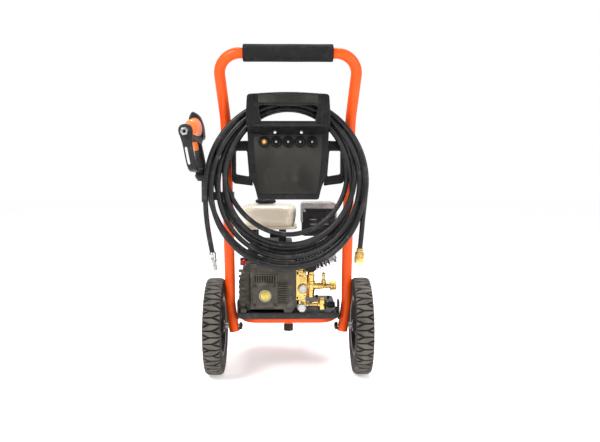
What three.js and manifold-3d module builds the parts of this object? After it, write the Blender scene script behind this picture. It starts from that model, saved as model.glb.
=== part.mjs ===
// Petrol pressure washer on a two-wheel trolley: triplex plunger pump, engine, coiled hose,
// spray gun and nozzle panel.
// Millimetres. X is to the operator's right, Y runs forward (away from the operator), Z is up.
// The origin is the centre of the front foot's underside, so the ground is z = 0.
import * as THREE from 'three';
import { mergeVertices } from 'three/addons/utils/BufferGeometryUtils.js';
import ManifoldModule from 'manifold-3d';

const wasm = await ManifoldModule();
wasm.setup();

// ---------------------------------------------------------------- driving dimensions
const GAP = 0.3;                      // clearance left between pieces that touch
const TUBE_RADIUS = 16;               // frame tube, 32 mm outside

const WHEEL_RADIUS = 152.5;           // 12 inch wheel
const WHEEL_CENTRE_X = 231;
const TYRE_HALF_WIDTH = 27;
const RIM_RADIUS = 95;
const AXLE_Y = -560;
const AXLE_RADIUS = 6;
const AXLE_BORE = 6.4;

const HANDLE_TOP_Z = 980;
const HANDLE_TOP_Y = -720;
const HANDLE_BEND = 62;
const GRIP_RADIUS = 25;
const GRIP_LENGTH = 258;

const BASE_Z = 182;                   // centre height of the base tube loop
const BASE_NEAR_Y = -580;
const BASE_WIDE_X = 139;
const BASE_NARROW_X = 80;
const DECK_BOTTOM_Z = BASE_Z + TUBE_RADIUS + GAP;
const DECK_TOP_Z = 202;
const DECK_NEAR_Y = -600;
const DECK_HALF_WIDTH = 155;

const PANEL_FRONT_Y = -680;
const PANEL_BACK_Y = -636;
const PANEL_HOOK_Y = -725;            // front of the hose hook that forms the panel's handle
const WING_BACK_Y = -612;
const SADDLE_Z = 783;                 // shelf the hose rests on
const NOZZLE_Z = 730;
const NOZZLE_SPACING = 35.2;

const HOSE_RADIUS = 7.5;
const COIL_NEAR_Y = -690;
const COIL_FAR_Y = -645;
const COIL_OUTER = { x: -3, z: 603, a: 248, b: 256 };
const COIL_INNER = { x: 0, z: 641, a: 166, b: 178 };

const SHAFT_X = -72;                  // engine and pump crankshaft axis, along Y
const SHAFT_Z = 296;
const SHAFT_RADIUS = 12.5;
const PUMP_NEAR_Y = -600;
const PUMP_FAR_Y = -455;
const PUMP_FLANGE_X = 23;             // face between crankcase and brass head
const HEAD_FAR_X = 58;
const PLUNGER_RADIUS = 7.5;
const PLUNGER_SPACING = 32;
const PLUNGER_FIRST_Y = -572;
const CRANK_THROW = 5;
const UNLOADER_X = 71;
const OUTLET_Y = -575;
const OUTLET_Z = 285;
const INLET_Z = 221;

const ENGINE_NEAR_Y = -425;
const ENGINE_FAR_Y = -215;
const RECOIL_FAR_Y = -130;
const RECOIL_RADIUS = 96;
const CYLINDER_TILT = THREE.MathUtils.degToRad(17);
const TANK_BOTTOM_Z = 446;
const TANK_TOP_Z = 528;

const GUN_X = -291;
const GUN_FRONT_Y = -755;
const GUN_FRONT_Z = 756;
const GUN_PITCH = THREE.MathUtils.degToRad(7);
const GUN_ROLL = THREE.MathUtils.degToRad(-8);
const GUN_YAW = THREE.MathUtils.degToRad(-2.4);

// ---------------------------------------------------------------- materials
function finish(color, roughness, metalness) {
  return new THREE.MeshStandardMaterial({ color, roughness, metalness });
}
const orangePaint = finish(0xf2571e, 0.32, 0.0);
const blackPlastic = finish(0x26272a, 0.5, 0.0);
const blackRubber = finish(0x2b2b2c, 0.75, 0.0);
const foam = finish(0x2a2a2a, 0.95, 0.0);
const tyreRubber = finish(0x3a3833, 0.85, 0.0);
const blackSteel = finish(0x222326, 0.4, 0.4);
const zinc = finish(0xb9bbb8, 0.3, 0.9);
const brass = finish(0xc99a3c, 0.28, 0.9);
const castGrey = finish(0x4c4b46, 0.55, 0.6);
const alloy = finish(0xa5a7a8, 0.4, 0.8);
const tankCream = finish(0xe4dcc4, 0.35, 0.0);
const redPlastic = finish(0xc8262b, 0.4, 0.0);
const yellowGlass = finish(0xd9b53a, 0.2, 0.0);
const orangePlastic = finish(0xf47a3a, 0.4, 0.0);

// ---------------------------------------------------------------- solids
function signedVolume(positions, triangles) {
  const a = new THREE.Vector3();
  const b = new THREE.Vector3();
  const c = new THREE.Vector3();
  let total = 0;
  for (let i = 0; i < triangles.length; i += 3) {
    a.fromArray(positions, 3 * triangles[i]);
    b.fromArray(positions, 3 * triangles[i + 1]);
    c.fromArray(positions, 3 * triangles[i + 2]);
    total += a.dot(b.cross(c)) / 6;
  }
  return total;
}

// A closed three.js geometry becomes a manifold solid with its faces pointing out.
function toSolid(geometry) {
  if (geometry.userData.solid) return geometry.userData.solid;
  const plain = geometry.clone();
  plain.deleteAttribute('normal');
  plain.deleteAttribute('uv');
  const merged = mergeVertices(plain, 1e-4);
  const index = merged.index.array;
  const positions = new Float32Array(merged.attributes.position.array);
  const triangles = [];
  for (let i = 0; i < index.length; i += 3) {
    const corners = [index[i], index[i + 1], index[i + 2]];
    if (new Set(corners).size === 3) triangles.push(...corners);
  }
  if (signedVolume(positions, triangles) < 0) triangles.reverse();
  const mesh = new wasm.Mesh({
    numProp: 3,
    vertProperties: positions,
    triVerts: new Uint32Array(triangles),
  });
  return new wasm.Manifold(mesh);
}

function fromSolid(solid) {
  const mesh = solid.getMesh();
  const geometry = new THREE.BufferGeometry();
  geometry.setAttribute('position', new THREE.BufferAttribute(mesh.vertProperties, 3));
  geometry.setIndex(new THREE.BufferAttribute(mesh.triVerts, 1));
  geometry.computeVertexNormals();
  geometry.userData.solid = solid;      // a later cut or join starts from the exact solid
  return geometry;
}

function join(...pieces) {
  return fromSolid(pieces.map(toSolid).reduce((whole, piece) => whole.add(piece)));
}

function cut(body, ...tools) {
  return fromSolid(tools.map(toSolid).reduce((rest, tool) => rest.subtract(tool), toSolid(body)));
}

function common(first, second) {
  return fromSolid(toSolid(first).intersect(toSolid(second)));
}

// Turns a geometry made along Y so that it runs along the named axis.
function alongAxis(geometry, axis) {
  if (axis === 'x') geometry.rotateZ(-Math.PI / 2);
  if (axis === 'z') geometry.rotateX(Math.PI / 2);
  return geometry;
}

// The point that is `along` on the named axis and passes through `centre`.
function axisPoint(axis, centre, along) {
  const point = centre.clone();
  point[axis] = along;
  return point;
}

function rod(axis, radius, from, to, centre, sides = 12) {
  const geometry = alongAxis(new THREE.CylinderGeometry(radius, radius, Math.abs(to - from), sides), axis);
  const middle = axisPoint(axis, centre, (from + to) / 2);
  return geometry.translate(middle.x, middle.y, middle.z);
}

function hexagon(axis, acrossFlats, from, to, centre) {
  return rod(axis, acrossFlats / Math.sqrt(3), from, to, centre, 6);
}

// Revolves [radius, distance] pairs about a line along the named axis through `centre`.
function turned(axis, profile, centre, sides = 16) {
  const points = profile.map(([radius, along]) => new THREE.Vector2(radius, along));
  const first = points[0];
  const last = points[points.length - 1];
  const onAxis = first.x === 0 && last.x === 0;
  if (!onAxis) points.push(first.clone());
  const geometry = alongAxis(new THREE.LatheGeometry(points, sides), axis);
  const base = axisPoint(axis, centre, 0);
  return geometry.translate(base.x, base.y, base.z);
}

function block(x0, x1, y0, y1, z0, z1) {
  const geometry = new THREE.BoxGeometry(x1 - x0, y1 - y0, z1 - z0);
  return geometry.translate((x0 + x1) / 2, (y0 + y1) / 2, (z0 + z1) / 2);
}

// Polygon whose corners are rounded; each point is [across, up, length cut off each side of the corner].
function outline(points, ShapeClass = THREE.Shape) {
  const shape = new ShapeClass();
  const count = points.length;
  points.forEach(([u, v, wanted = 0], i) => {
    const corner = new THREE.Vector2(u, v);
    const before = new THREE.Vector2(...points[(i + count - 1) % count]);
    const after = new THREE.Vector2(...points[(i + 1) % count]);
    const room = 0.45 * Math.min(corner.distanceTo(before), corner.distanceTo(after));
    const radius = Math.min(wanted, room);
    const start = corner.clone().add(before.sub(corner).setLength(radius));
    const end = corner.clone().add(after.sub(corner).setLength(radius));
    if (i === 0) shape.moveTo(start.x, start.y);
    else shape.lineTo(start.x, start.y);
    if (radius > 0) shape.quadraticCurveTo(u, v, end.x, end.y);
  });
  shape.closePath();
  return shape;
}

function boxOutline(u0, u1, v0, v1, radius) {
  return outline([[u0, v0, radius], [u1, v0, radius], [u1, v1, radius], [u0, v1, radius]]);
}

function extrude(shape, depth, options = {}) {
  return new THREE.ExtrudeGeometry(shape, { depth, bevelEnabled: false, curveSegments: 2, ...options });
}

// Outline drawn in X and Z, solid from yNear to yFar.
function plateFront(shape, yNear, yFar, options) {
  return extrude(shape, yFar - yNear, options).rotateX(Math.PI / 2).translate(0, yFar, 0);
}

// Outline drawn in X and Y, solid from zLow to zHigh.
function plateTop(shape, zLow, zHigh, options) {
  return extrude(shape, zHigh - zLow, options).translate(0, 0, zLow);
}

// Outline drawn in Y and Z, solid from xLeft to xRight.
function plateSide(shape, xLeft, xRight, options) {
  const turn = new THREE.Matrix4().makeBasis(
    new THREE.Vector3(0, 1, 0), new THREE.Vector3(0, 0, 1), new THREE.Vector3(1, 0, 0));
  return extrude(shape, xRight - xLeft, options).applyMatrix4(turn).translate(xLeft, 0, 0);
}

// Straight runs joined by arcs, with a station at each end of a run and a few on each arc.
class BentPath extends THREE.Curve {
  constructor(points, bendRadii, arcStep = THREE.MathUtils.degToRad(24)) {
    super();
    const corners = points.map((p) => new THREE.Vector3(...p));
    this.stations = [];
    const last = corners.length - 1;
    const leave = corners[1].clone().sub(corners[0]).normalize();
    this.stations.push({ point: corners[0], tangent: leave });
    for (let i = 1; i < last; i += 1) this.addBend(corners, i, bendRadii[i - 1], arcStep);
    const arrive = corners[last].clone().sub(corners[last - 1]).normalize();
    this.stations.push({ point: corners[last], tangent: arrive });
  }

  addBend(corners, i, radius, arcStep) {
    const incoming = corners[i].clone().sub(corners[i - 1]).normalize();
    const outgoing = corners[i + 1].clone().sub(corners[i]).normalize();
    const angle = incoming.angleTo(outgoing);
    const inward = outgoing.clone().addScaledVector(incoming, -incoming.dot(outgoing)).normalize();
    const start = corners[i].clone().addScaledVector(incoming, -radius * Math.tan(angle / 2));
    const steps = Math.max(2, Math.ceil(angle / arcStep));
    for (let k = 0; k <= steps; k += 1) {
      const turn = (angle * k) / steps;
      const point = start.clone()
        .addScaledVector(inward, radius * (1 - Math.cos(turn)))
        .addScaledVector(incoming, radius * Math.sin(turn));
      const tangent = incoming.clone().multiplyScalar(Math.cos(turn)).addScaledVector(inward, Math.sin(turn));
      this.stations.push({ point, tangent: tangent.normalize() });
    }
  }

  get steps() {
    return this.stations.length - 1;
  }

  station(u) {
    return this.stations[Math.round(u * this.steps)];
  }

  getPointAt(u, target = new THREE.Vector3()) {
    return target.copy(this.station(u).point);
  }

  getTangentAt(u, target = new THREE.Vector3()) {
    return target.copy(this.station(u).tangent);
  }
}

function polygonSection(radius, sides) {
  const points = [];
  for (let i = 0; i < sides; i += 1) {
    const angle = (2 * Math.PI * (i + 0.5)) / sides;
    points.push(new THREE.Vector2(radius * Math.cos(angle), radius * Math.sin(angle)));
  }
  return new THREE.Shape(points);
}

function bentTube(points, bendRadii, radius, sides = 10) {
  const path = new BentPath(points, bendRadii);
  return new THREE.ExtrudeGeometry(polygonSection(radius, sides), { steps: path.steps, extrudePath: path });
}

// A rod between any two points.
function strut(from, to, radius, sides = 12) {
  const start = new THREE.Vector3(...from);
  const end = new THREE.Vector3(...to);
  const direction = end.clone().sub(start);
  const geometry = new THREE.CylinderGeometry(radius, radius, direction.length(), sides);
  const turn = new THREE.Quaternion().setFromUnitVectors(new THREE.Vector3(0, 1, 0), direction.normalize());
  const middle = start.add(end).multiplyScalar(0.5);
  return geometry.applyQuaternion(turn).translate(middle.x, middle.y, middle.z);
}

// Mirrors a point list left to right and reverses it, so a half route can be completed.
function mirrored(points) {
  return points.map(([x, y, z]) => [-x, y, z]).reverse();
}

const washer = new THREE.Group();

function addPiece(parent, name, geometry, material) {
  const piece = new THREE.Mesh(fromSolid(toSolid(geometry)), material);
  piece.name = name;
  parent.add(piece);
  return piece;
}

// ---------------------------------------------------------------- trolley frame
function addHandleFrame() {
  const halfLeg = [
    [-172, AXLE_Y, 136],
    [-185, AXLE_Y, 232],
    [-185, AXLE_Y, 300],
    [-188, AXLE_Y - 62, 794],
    [-203, HANDLE_TOP_Y, HANDLE_TOP_Z],
  ];
  const halfBends = [100, 200, 150, HANDLE_BEND];
  const frame = bentTube([...halfLeg, ...mirrored(halfLeg)], [...halfBends, ...[...halfBends].reverse()], TUBE_RADIUS);
  const axleBore = rod('x', AXLE_BORE, -220, 220, new THREE.Vector3(0, AXLE_Y, WHEEL_RADIUS), 12);
  addPiece(washer, 'handle_frame', cut(frame, axleBore), orangePaint);

  const half = GRIP_LENGTH / 2;
  const bore = TUBE_RADIUS + 0.8;
  const chamfer = 3;
  const profile = [
    [bore, -half], [GRIP_RADIUS - chamfer, -half], [GRIP_RADIUS, chamfer - half],
    [GRIP_RADIUS, half - chamfer], [GRIP_RADIUS - chamfer, half], [bore, half],
  ];
  const barCentre = new THREE.Vector3(0, HANDLE_TOP_Y, HANDLE_TOP_Z);
  addPiece(washer, 'handle_grip', turned('x', profile, barCentre, 16), foam);
}

function addBaseFrame() {
  const overlap = 2;
  const halfLoop = [
    [overlap, 0, BASE_Z],
    [-BASE_NARROW_X, 0, BASE_Z],
    [-BASE_NARROW_X, -330, BASE_Z],
    [-BASE_WIDE_X, -480, BASE_Z],
    [-BASE_WIDE_X, BASE_NEAR_Y, BASE_Z],
    [overlap, BASE_NEAR_Y, BASE_Z],
  ];
  const bends = [44, 80, 80, 44];
  const left = bentTube(halfLoop, bends, TUBE_RADIUS);
  const right = bentTube(mirrored(halfLoop), [...bends].reverse(), TUBE_RADIUS);
  const footLeg = rod('z', 13, 8, BASE_Z, new THREE.Vector3(), 16);
  addPiece(washer, 'base_frame', join(left, right, footLeg), orangePaint);

  const footProfile = [
    [0, 0], [17, 0], [19, 2], [19, 24], [17, 27], [13.3, 27], [13.3, 8 - GAP], [0, 8 - GAP],
  ];
  addPiece(washer, 'front_foot', turned('z', footProfile, new THREE.Vector3()), blackRubber);
}

function addDeck() {
  const plan = outline([
    [-DECK_HALF_WIDTH, DECK_NEAR_Y], [DECK_HALF_WIDTH, DECK_NEAR_Y], [DECK_HALF_WIDTH, -313, 12],
    [66, -313], [66, -222, 12], [-DECK_HALF_WIDTH, -222, 12],
  ]);
  const plate = plateTop(plan, DECK_BOTTOM_Z, DECK_TOP_Z);
  const lipShape = outline([
    [-DECK_HALF_WIDTH, DECK_TOP_Z], [-DECK_HALF_WIDTH, 183, 12], [DECK_HALF_WIDTH, 183, 12],
    [DECK_HALF_WIDTH, DECK_TOP_Z],
  ]);
  const lip = plateFront(lipShape, DECK_NEAR_Y, DECK_NEAR_Y + 3.5);
  addPiece(washer, 'deck_tray', join(plate, lip), blackSteel);

  for (const [word, side] of [['left', -1], ['right', 1]]) {
    const plateShape = outline([[-592, 178, 8], [-530, 178, 8], [-530, 222, 8], [-548, 238, 8], [-592, 238, 8]]);
    const faces = [side * (DECK_HALF_WIDTH + 1), side * 160.8];
    const bracket = plateSide(plateShape, Math.min(...faces), Math.max(...faces));
    addPiece(washer, `frame_bracket_${word}`, bracket, blackSteel);
  }
}

// ---------------------------------------------------------------- wheels
function addWheel(word, side) {
  const wheel = new THREE.Group();
  wheel.position.set(side * WHEEL_CENTRE_X, AXLE_Y, WHEEL_RADIUS);
  washer.add(wheel);
  const origin = new THREE.Vector3();
  const out = side;                       // distance along X, positive away from the machine

  const half = TYRE_HALF_WIDTH;
  const tyreProfile = [
    [RIM_RADIUS, -half + 4], [118, -half], [145, -half + 1], [WHEEL_RADIUS, -half + 7],
    [WHEEL_RADIUS, half - 7], [145, half - 1], [118, half], [RIM_RADIUS, half - 4],
  ];
  addPiece(wheel, `tyre_${word}`, turned('x', tyreProfile, origin, 24), tyreRubber);

  const rimEdge = RIM_RADIUS - GAP - 0.2;
  const rimProfile = [
    [AXLE_BORE, -27], [20, -27], [20, -6], [80, -6], [80, -22], [rimEdge, -24],
    [rimEdge, 24], [80, 22], [80, 6], [20, 6], [20, 20], [AXLE_BORE, 20],
  ].map(([radius, along]) => [radius, along * out]);
  addPiece(wheel, `rim_${word}`, turned('x', rimProfile, origin, 24), blackSteel);

  const axleProfile = [
    [0, 26.5], [9, 26.5], [11, 24], [11, 20 + GAP], [AXLE_RADIUS, 20 + GAP], [AXLE_RADIUS, -27 - GAP],
    [10, -27 - GAP], [10, -38], [AXLE_RADIUS, -38], [AXLE_RADIUS, -86], [0, -86],
  ].map(([radius, along]) => [radius, along * out]);
  addPiece(wheel, `axle_${word}`, turned('x', axleProfile, origin, 12), zinc);

  const nut = cut(
    hexagon('x', 21, -75 * out, -84 * out, origin),
    rod('x', AXLE_BORE, -60 * out, -100 * out, origin, 12));
  addPiece(wheel, `axle_nut_${word}`, nut, blackSteel);
}

// ---------------------------------------------------------------- control panel
function addPanel() {
  const rightEdge = [
    [90, 560, 6], [99, 598, 10], [112, 626, 10], [118, 700, 10], [119, 745, 8],
    [122, 760, 6], [122, 800], [118, 864, 12],
  ];
  const bump = [[31, 866], [24, 869], [-24, 869], [-31, 866]];
  const leftEdge = rightEdge.map(([x, z, r]) => [-x, z, r]).reverse();
  const front = outline([...rightEdge, ...bump, ...leftEdge]);
  front.holes.push(outline([[-78, 785, 8], [78, 785, 8], [85, 832, 8], [-85, 832, 8]], THREE.Path));
  const side = outline([
    [PANEL_BACK_Y, 550], [PANEL_FRONT_Y, 550], [PANEL_FRONT_Y, 752, 6], [PANEL_HOOK_Y, 774, 10],
    [PANEL_HOOK_Y, 872, 8], [-697, 872, 8], [-697, SADDLE_Z], [PANEL_BACK_Y, SADDLE_Z],
  ]);
  const moulding = common(plateFront(front, -740, -600), plateSide(side, -140, 140));

  const wings = [-1, 1].map((hand) => {
    const wing = outline([
      [90, 596], [163, 607, 6], [170, 616, 6], [170, 724, 6], [163, 734, 6], [90, 734],
    ].map(([x, z, r]) => [hand * x, z, r]));
    wing.holes.push(outline([
      [124, 705, 4], [158, 705, 4], [158, 635, 4], [118, 628, 4],
    ].map(([x, z, r]) => [hand * x, z, r]), THREE.Path));
    return plateFront(wing, PANEL_BACK_Y - 4, WING_BACK_Y);
  });

  const pocketShape = outline([
    [82, 568, 8], [104, 632, 8], [110, 700, 8], [110, 747, 6],
    [-110, 747, 6], [-110, 700, 8], [-104, 632, 8], [-82, 568, 8],
  ]);
  const pocket = plateFront(pocketShape, PANEL_FRONT_Y + 6, WING_BACK_Y + 10);
  const shoulders = [-1, 1].map((hand) => plateFront(
    outline([[84, SADDLE_Z + 0.2], [130, 754], [130, 800], [84, 800]].map(([x, z]) => [hand * x, z])),
    -696.9, -600));
  const dowelHoles = [-39, 39].map((x) => rod('y', 4.5, -740, -600, new THREE.Vector3(x, 0, 758), 12));
  const nozzleHoles = nozzlePlaces().map((x) => (
    rod('y', 6.6, PANEL_FRONT_Y - 10, -650, new THREE.Vector3(x, 0, NOZZLE_Z), 12)));
  const recess = plateFront(
    outline([[-86, 577, 6], [86, 577, 6], [100, 712, 6], [-100, 712, 6]]), PANEL_FRONT_Y - 5, PANEL_FRONT_Y + 2);
  const panel = cut(
    join(moulding, ...wings), pocket, recess, ...shoulders, ...dowelHoles, ...nozzleHoles);
  addPiece(washer, 'control_panel', panel, blackPlastic);
}

function nozzlePlaces() {
  return [-2, -1, 0, 1, 2].map((place) => place * NOZZLE_SPACING);
}

function addNozzles() {
  const near = PANEL_FRONT_Y - GAP;
  nozzlePlaces().forEach((x, i) => {
    const profile = [
      [0, near + 28], [6, near + 26], [6, near], [13, near], [13, near - 7],
      [11, near - 10], [4, near - 10], [4, near - 12], [0, near - 12],
    ];
    const nozzle = turned('y', profile, new THREE.Vector3(x, 0, NOZZLE_Z), 12);
    addPiece(washer, `nozzle_${i + 1}`, nozzle, i === 0 ? yellowGlass : blackPlastic);
  });
}

// ---------------------------------------------------------------- hose
// The hank of hose: an eccentric ring, thin over the saddle and wide where it hangs.
function hoseRing(grow = 0) {
  const bevel = 10;
  const ellipse = (shape, size, semiGrow) => {
    shape.absellipse(size.x, size.z, size.a + semiGrow, size.b + semiGrow, 0, 2 * Math.PI, false, 0);
    return shape;
  };
  const shape = ellipse(new THREE.Shape(), COIL_OUTER, grow - bevel);
  shape.holes.push(ellipse(new THREE.Path(), COIL_INNER, bevel - grow));
  return plateFront(shape, COIL_NEAR_Y - grow + bevel, COIL_FAR_Y + grow - bevel, {
    curveSegments: 14, bevelEnabled: true, bevelSize: bevel, bevelThickness: bevel, bevelSegments: 1,
  });
}

const TAIL_Y = -682;
const LEFT_TAIL = [
  [-246, TAIL_Y, 560], [-243, TAIL_Y, 510], [-237, TAIL_Y, 459], [-229.6, TAIL_Y, 424], [-226, TAIL_Y, 404],
];
const RIGHT_TAIL = [
  [224, TAIL_Y, 530], [219, TAIL_Y, 490], [219, TAIL_Y, 459], [215, TAIL_Y, 432], [213.5, TAIL_Y, 415],
];

// Places a fitting, made pointing down from its own origin, on the end of a tail.
function hangFrom(fitting, route) {
  const end = new THREE.Vector3(...route[route.length - 1]);
  const lead = end.clone().sub(new THREE.Vector3(...route[route.length - 2]));
  fitting.position.copy(end);
  fitting.rotation.y = Math.atan2(-lead.x, -lead.z);
}

function addHose() {
  addPiece(washer, 'hose_coil', hoseRing(), blackRubber);
  const room = hoseRing(GAP);
  for (const [word, route] of [['left', LEFT_TAIL], ['right', RIGHT_TAIL]]) {
    const tail = bentTube(route, [150, 150, 150], HOSE_RADIUS, 8);
    addPiece(washer, `hose_tail_${word}`, cut(tail, room), blackRubber);
  }

  const plugProfile = [
    [0, -GAP], [9, -GAP], [10, -3], [10, -14], [8.5, -16], [8.5, -30], [6, -32], [6, -52], [4.5, -56], [0, -56],
  ];
  const plug = addPiece(washer, 'hose_plug_steel', turned('z', plugProfile, new THREE.Vector3(), 16), zinc);
  hangFrom(plug, LEFT_TAIL);

  const couplerProfile = [
    [0, -GAP], [10, -GAP], [10, -12], [13.5, -14], [13.5, -40], [12, -44.5], [6, -44.5], [6, -34], [0, -34],
  ];
  const coupler = addPiece(washer, 'hose_coupler_brass', turned('z', couplerProfile, new THREE.Vector3(), 16), brass);
  hangFrom(coupler, RIGHT_TAIL);
}

// ---------------------------------------------------------------- pump
function plungerPlaces() {
  return [0, 1, 2].map((row) => PLUNGER_FIRST_Y + row * PLUNGER_SPACING);
}

function pointAt(x, z) {
  return new THREE.Vector3(x, 0, z);
}

function addPumpCase() {
  const caseShape = outline([
    [-154, DECK_TOP_Z + GAP + 1], [-122, DECK_TOP_Z + GAP + 1], [-118, 214], [-16, 214],
    [-12, DECK_TOP_Z + GAP + 1], [10, DECK_TOP_Z + GAP + 1], [PUMP_FLANGE_X, 222, 6], [PUMP_FLANGE_X, 350, 6],
    [12, 355, 4], [-126, 355, 8], [-141, 345, 6], [-155, 303, 10], [-155, 240, 6],
  ]);
  const body = plateFront(caseShape, PUMP_NEAR_Y, PUMP_FAR_Y);
  const leftStep = block(-165, -118, PUMP_NEAR_Y - 5, PUMP_NEAR_Y + 22, 200, 360);
  const crankRoom = block(-122, -20, PUMP_NEAR_Y + 10, PUMP_FAR_Y + 5, 228, 332);
  const inspection = rod('y', 25, PUMP_NEAR_Y - 5, PUMP_NEAR_Y + 15, pointAt(SHAFT_X, 258));
  const plungerBores = plungerPlaces().map((y) => (
    rod('x', PLUNGER_RADIUS + 0.8, -30, 40, new THREE.Vector3(0, y, SHAFT_Z))));
  const topSlots = [];
  for (let i = 0; i < 8; i += 1) {
    const x = -104 + i * 9.7;
    topSlots.push(block(x - 2.4, x + 2.4, PUMP_NEAR_Y - 5, PUMP_NEAR_Y + 7, 303, 325));
  }
  const sideGrooves = [];
  for (let i = 0; i < 7; i += 1) {
    const z = 233 + i * 10;
    sideGrooves.push(block(-29, -1, PUMP_NEAR_Y - 5, PUMP_NEAR_Y + 7, z - 2.8, z + 2.8));
  }
  addPiece(washer, 'pump_crankcase', cut(
    body, leftStep, crankRoom, inspection, ...plungerBores, ...topSlots, ...sideGrooves), castGrey);

  const coverFar = PUMP_NEAR_Y - GAP;
  const cover = plateFront(boxOutline(-112, -33.5, 220, 299, 7), coverFar - 8, coverFar);
  const glassHole = rod('y', 17, coverFar - 20, coverFar + 5, pointAt(SHAFT_X, 258), 16);
  const glassRim = cut(rod('y', 21, coverFar - 11, coverFar - 1, pointAt(SHAFT_X, 258), 16), glassHole);
  const screws = [-105, -41].flatMap((x) => [229, 290].map((z) => (
    rod('y', 5, coverFar - 12, coverFar - 2, pointAt(x, z), 8))));
  addPiece(washer, 'pump_rear_cover', join(cut(cover, glassHole), glassRim, ...screws), castGrey);

  const glassProfile = [[0, coverFar - 13], [10, coverFar - 12.5], [16.6, coverFar - 9], [16.6, coverFar - 1],
    [0, coverFar - 1]];
  addPiece(washer, 'oil_sight_glass', turned('y', glassProfile, pointAt(SHAFT_X, 258), 16), yellowGlass);
}

function addPumpDrive() {
  const shaft = rod('y', SHAFT_RADIUS, PUMP_NEAR_Y + 12, -441, pointAt(SHAFT_X, SHAFT_Z));
  const cams = plungerPlaces().map((y, row) => {
    const angle = (row * 2 * Math.PI) / 3;
    const x = SHAFT_X + CRANK_THROW * Math.cos(angle);
    const z = SHAFT_Z + CRANK_THROW * Math.sin(angle);
    return rod('y', 22, y - 9, y + 9, pointAt(x, z), 16);
  });
  addPiece(washer, 'pump_crankshaft', join(shaft, ...cams), zinc);

  plungerPlaces().forEach((y, row) => {
    const profile = [
      [0, -38], [13, -38], [13, -27], [PLUNGER_RADIUS, -27], [PLUNGER_RADIUS, 38], [5, 41], [0, 41],
    ];
    const plunger = turned('x', profile, new THREE.Vector3(0, y, SHAFT_Z), 12);
    addPiece(washer, `plunger_${row + 1}`, plunger, zinc);
  });

  const near = PUMP_FAR_Y + GAP;
  const far = ENGINE_NEAR_Y - GAP;
  const adapterProfile = [
    [SHAFT_RADIUS + 2, near], [76, near], [76, near + 8], [58, near + 12], [58, far - 8], [70, far - 6],
    [70, far], [SHAFT_RADIUS + 2, far],
  ];
  addPiece(washer, 'pump_adapter', turned('y', adapterProfile, pointAt(SHAFT_X, SHAFT_Z), 20), alloy);
}

function addPumpHead() {
  const near = PUMP_NEAR_Y + 2;
  const far = PUMP_FAR_Y - 22;
  const left = PUMP_FLANGE_X + GAP;
  const bodyShape = outline([
    [left, 241, 4], [HEAD_FAR_X - 8, 241, 4], [HEAD_FAR_X, 252, 4], [HEAD_FAR_X, 322, 4],
    [HEAD_FAR_X - 10, 335, 4], [left, 335, 4],
  ]);
  const body = plateFront(bodyShape, near, far);
  const inletRail = rod('y', 15, near - 4, far, pointAt(42, INLET_Z));
  const web = block(32, 52, near, far, INLET_Z, 245);
  const valveCaps = plungerPlaces().map((y) => hexagon('z', 22, 330, 343, new THREE.Vector3(40, y, 0)));
  const endBoss = rod('y', 15, near - 6, near + 4, pointAt(43, 279));
  const bores = plungerPlaces().map((y) => (
    rod('x', PLUNGER_RADIUS + 0.8, 10, 50, new THREE.Vector3(0, y, SHAFT_Z))));
  addPiece(washer, 'pump_head', cut(join(body, inletRail, web, endBoss, ...valveCaps), ...bores), brass);

  const capFar = near - 6 - GAP;
  addPiece(washer, 'head_cap', hexagon('y', 23, capFar - 12, capFar, pointAt(45, 279)), zinc);
  const inletFar = near - 4 - GAP;
  const inletCap = join(
    rod('y', 18, inletFar - 8, inletFar, pointAt(42, INLET_Z)),
    hexagon('y', 24, inletFar - 18, inletFar - 6, pointAt(42, INLET_Z)));
  addPiece(washer, 'inlet_cap', inletCap, zinc);
}

function addWaterParts() {
  const outletLine = new THREE.Vector3(0, OUTLET_Y, OUTLET_Z);
  const column = new THREE.Vector3(UNLOADER_X, OUTLET_Y, 0);
  const pipe = rod('x', 10, HEAD_FAR_X + GAP, 121, outletLine);
  const barrel = rod('z', 11.5, 253, 322, column);
  const shoulder = hexagon('z', 21, 310, 329, column);
  addPiece(washer, 'unloader_valve', join(pipe, barrel, shoulder), brass);

  const knobProfile = [
    [0, 329 + GAP], [11, 329 + GAP], [16, 333], [18, 337], [18, 350], [15, 354], [0, 354],
  ];
  addPiece(washer, 'unloader_knob', turned('z', knobProfile, column, 14), blackPlastic);

  const valve = new THREE.Vector3(111, OUTLET_Y, 0);
  const valveProfile = [
    [0, 295 + GAP], [7, 295 + GAP], [7, 303], [4.5, 305], [4.5, 315], [6, 316], [6, 324], [3, 326], [0, 326],
  ];
  addPiece(washer, 'thermal_valve', turned('z', valveProfile, valve, 12), brass);

  const couplerProfile = [
    [0, 121 + GAP], [9, 121 + GAP], [9, 131], [14.5, 132.5], [14.5, 149], [13, 151], [6, 151], [6, 140], [0, 140],
  ];
  addPiece(washer, 'outlet_coupler', turned('x', couplerProfile, outletLine, 14), brass);

  const inletLine = new THREE.Vector3(0, OUTLET_Y, INLET_Z + 3);
  const elbow = new THREE.Vector3(106, OUTLET_Y, 0);
  const inlet = join(
    rod('x', 8, 57 + GAP, 100, inletLine, 12),
    hexagon('z', 23, 208, 240, elbow),
    rod('z', 9, 236, 246, elbow, 12));
  addPiece(washer, 'inlet_fitting', inlet, brass);
  const tapProfile = [
    [0, 119.6], [8, 119.6], [8, 126], [11, 127], [11, 140], [8, 143], [8, 147], [0, 147],
  ];
  addPiece(washer, 'inlet_hose_connector', turned('x', tapProfile, inletLine, 14), blackPlastic);
}

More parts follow.
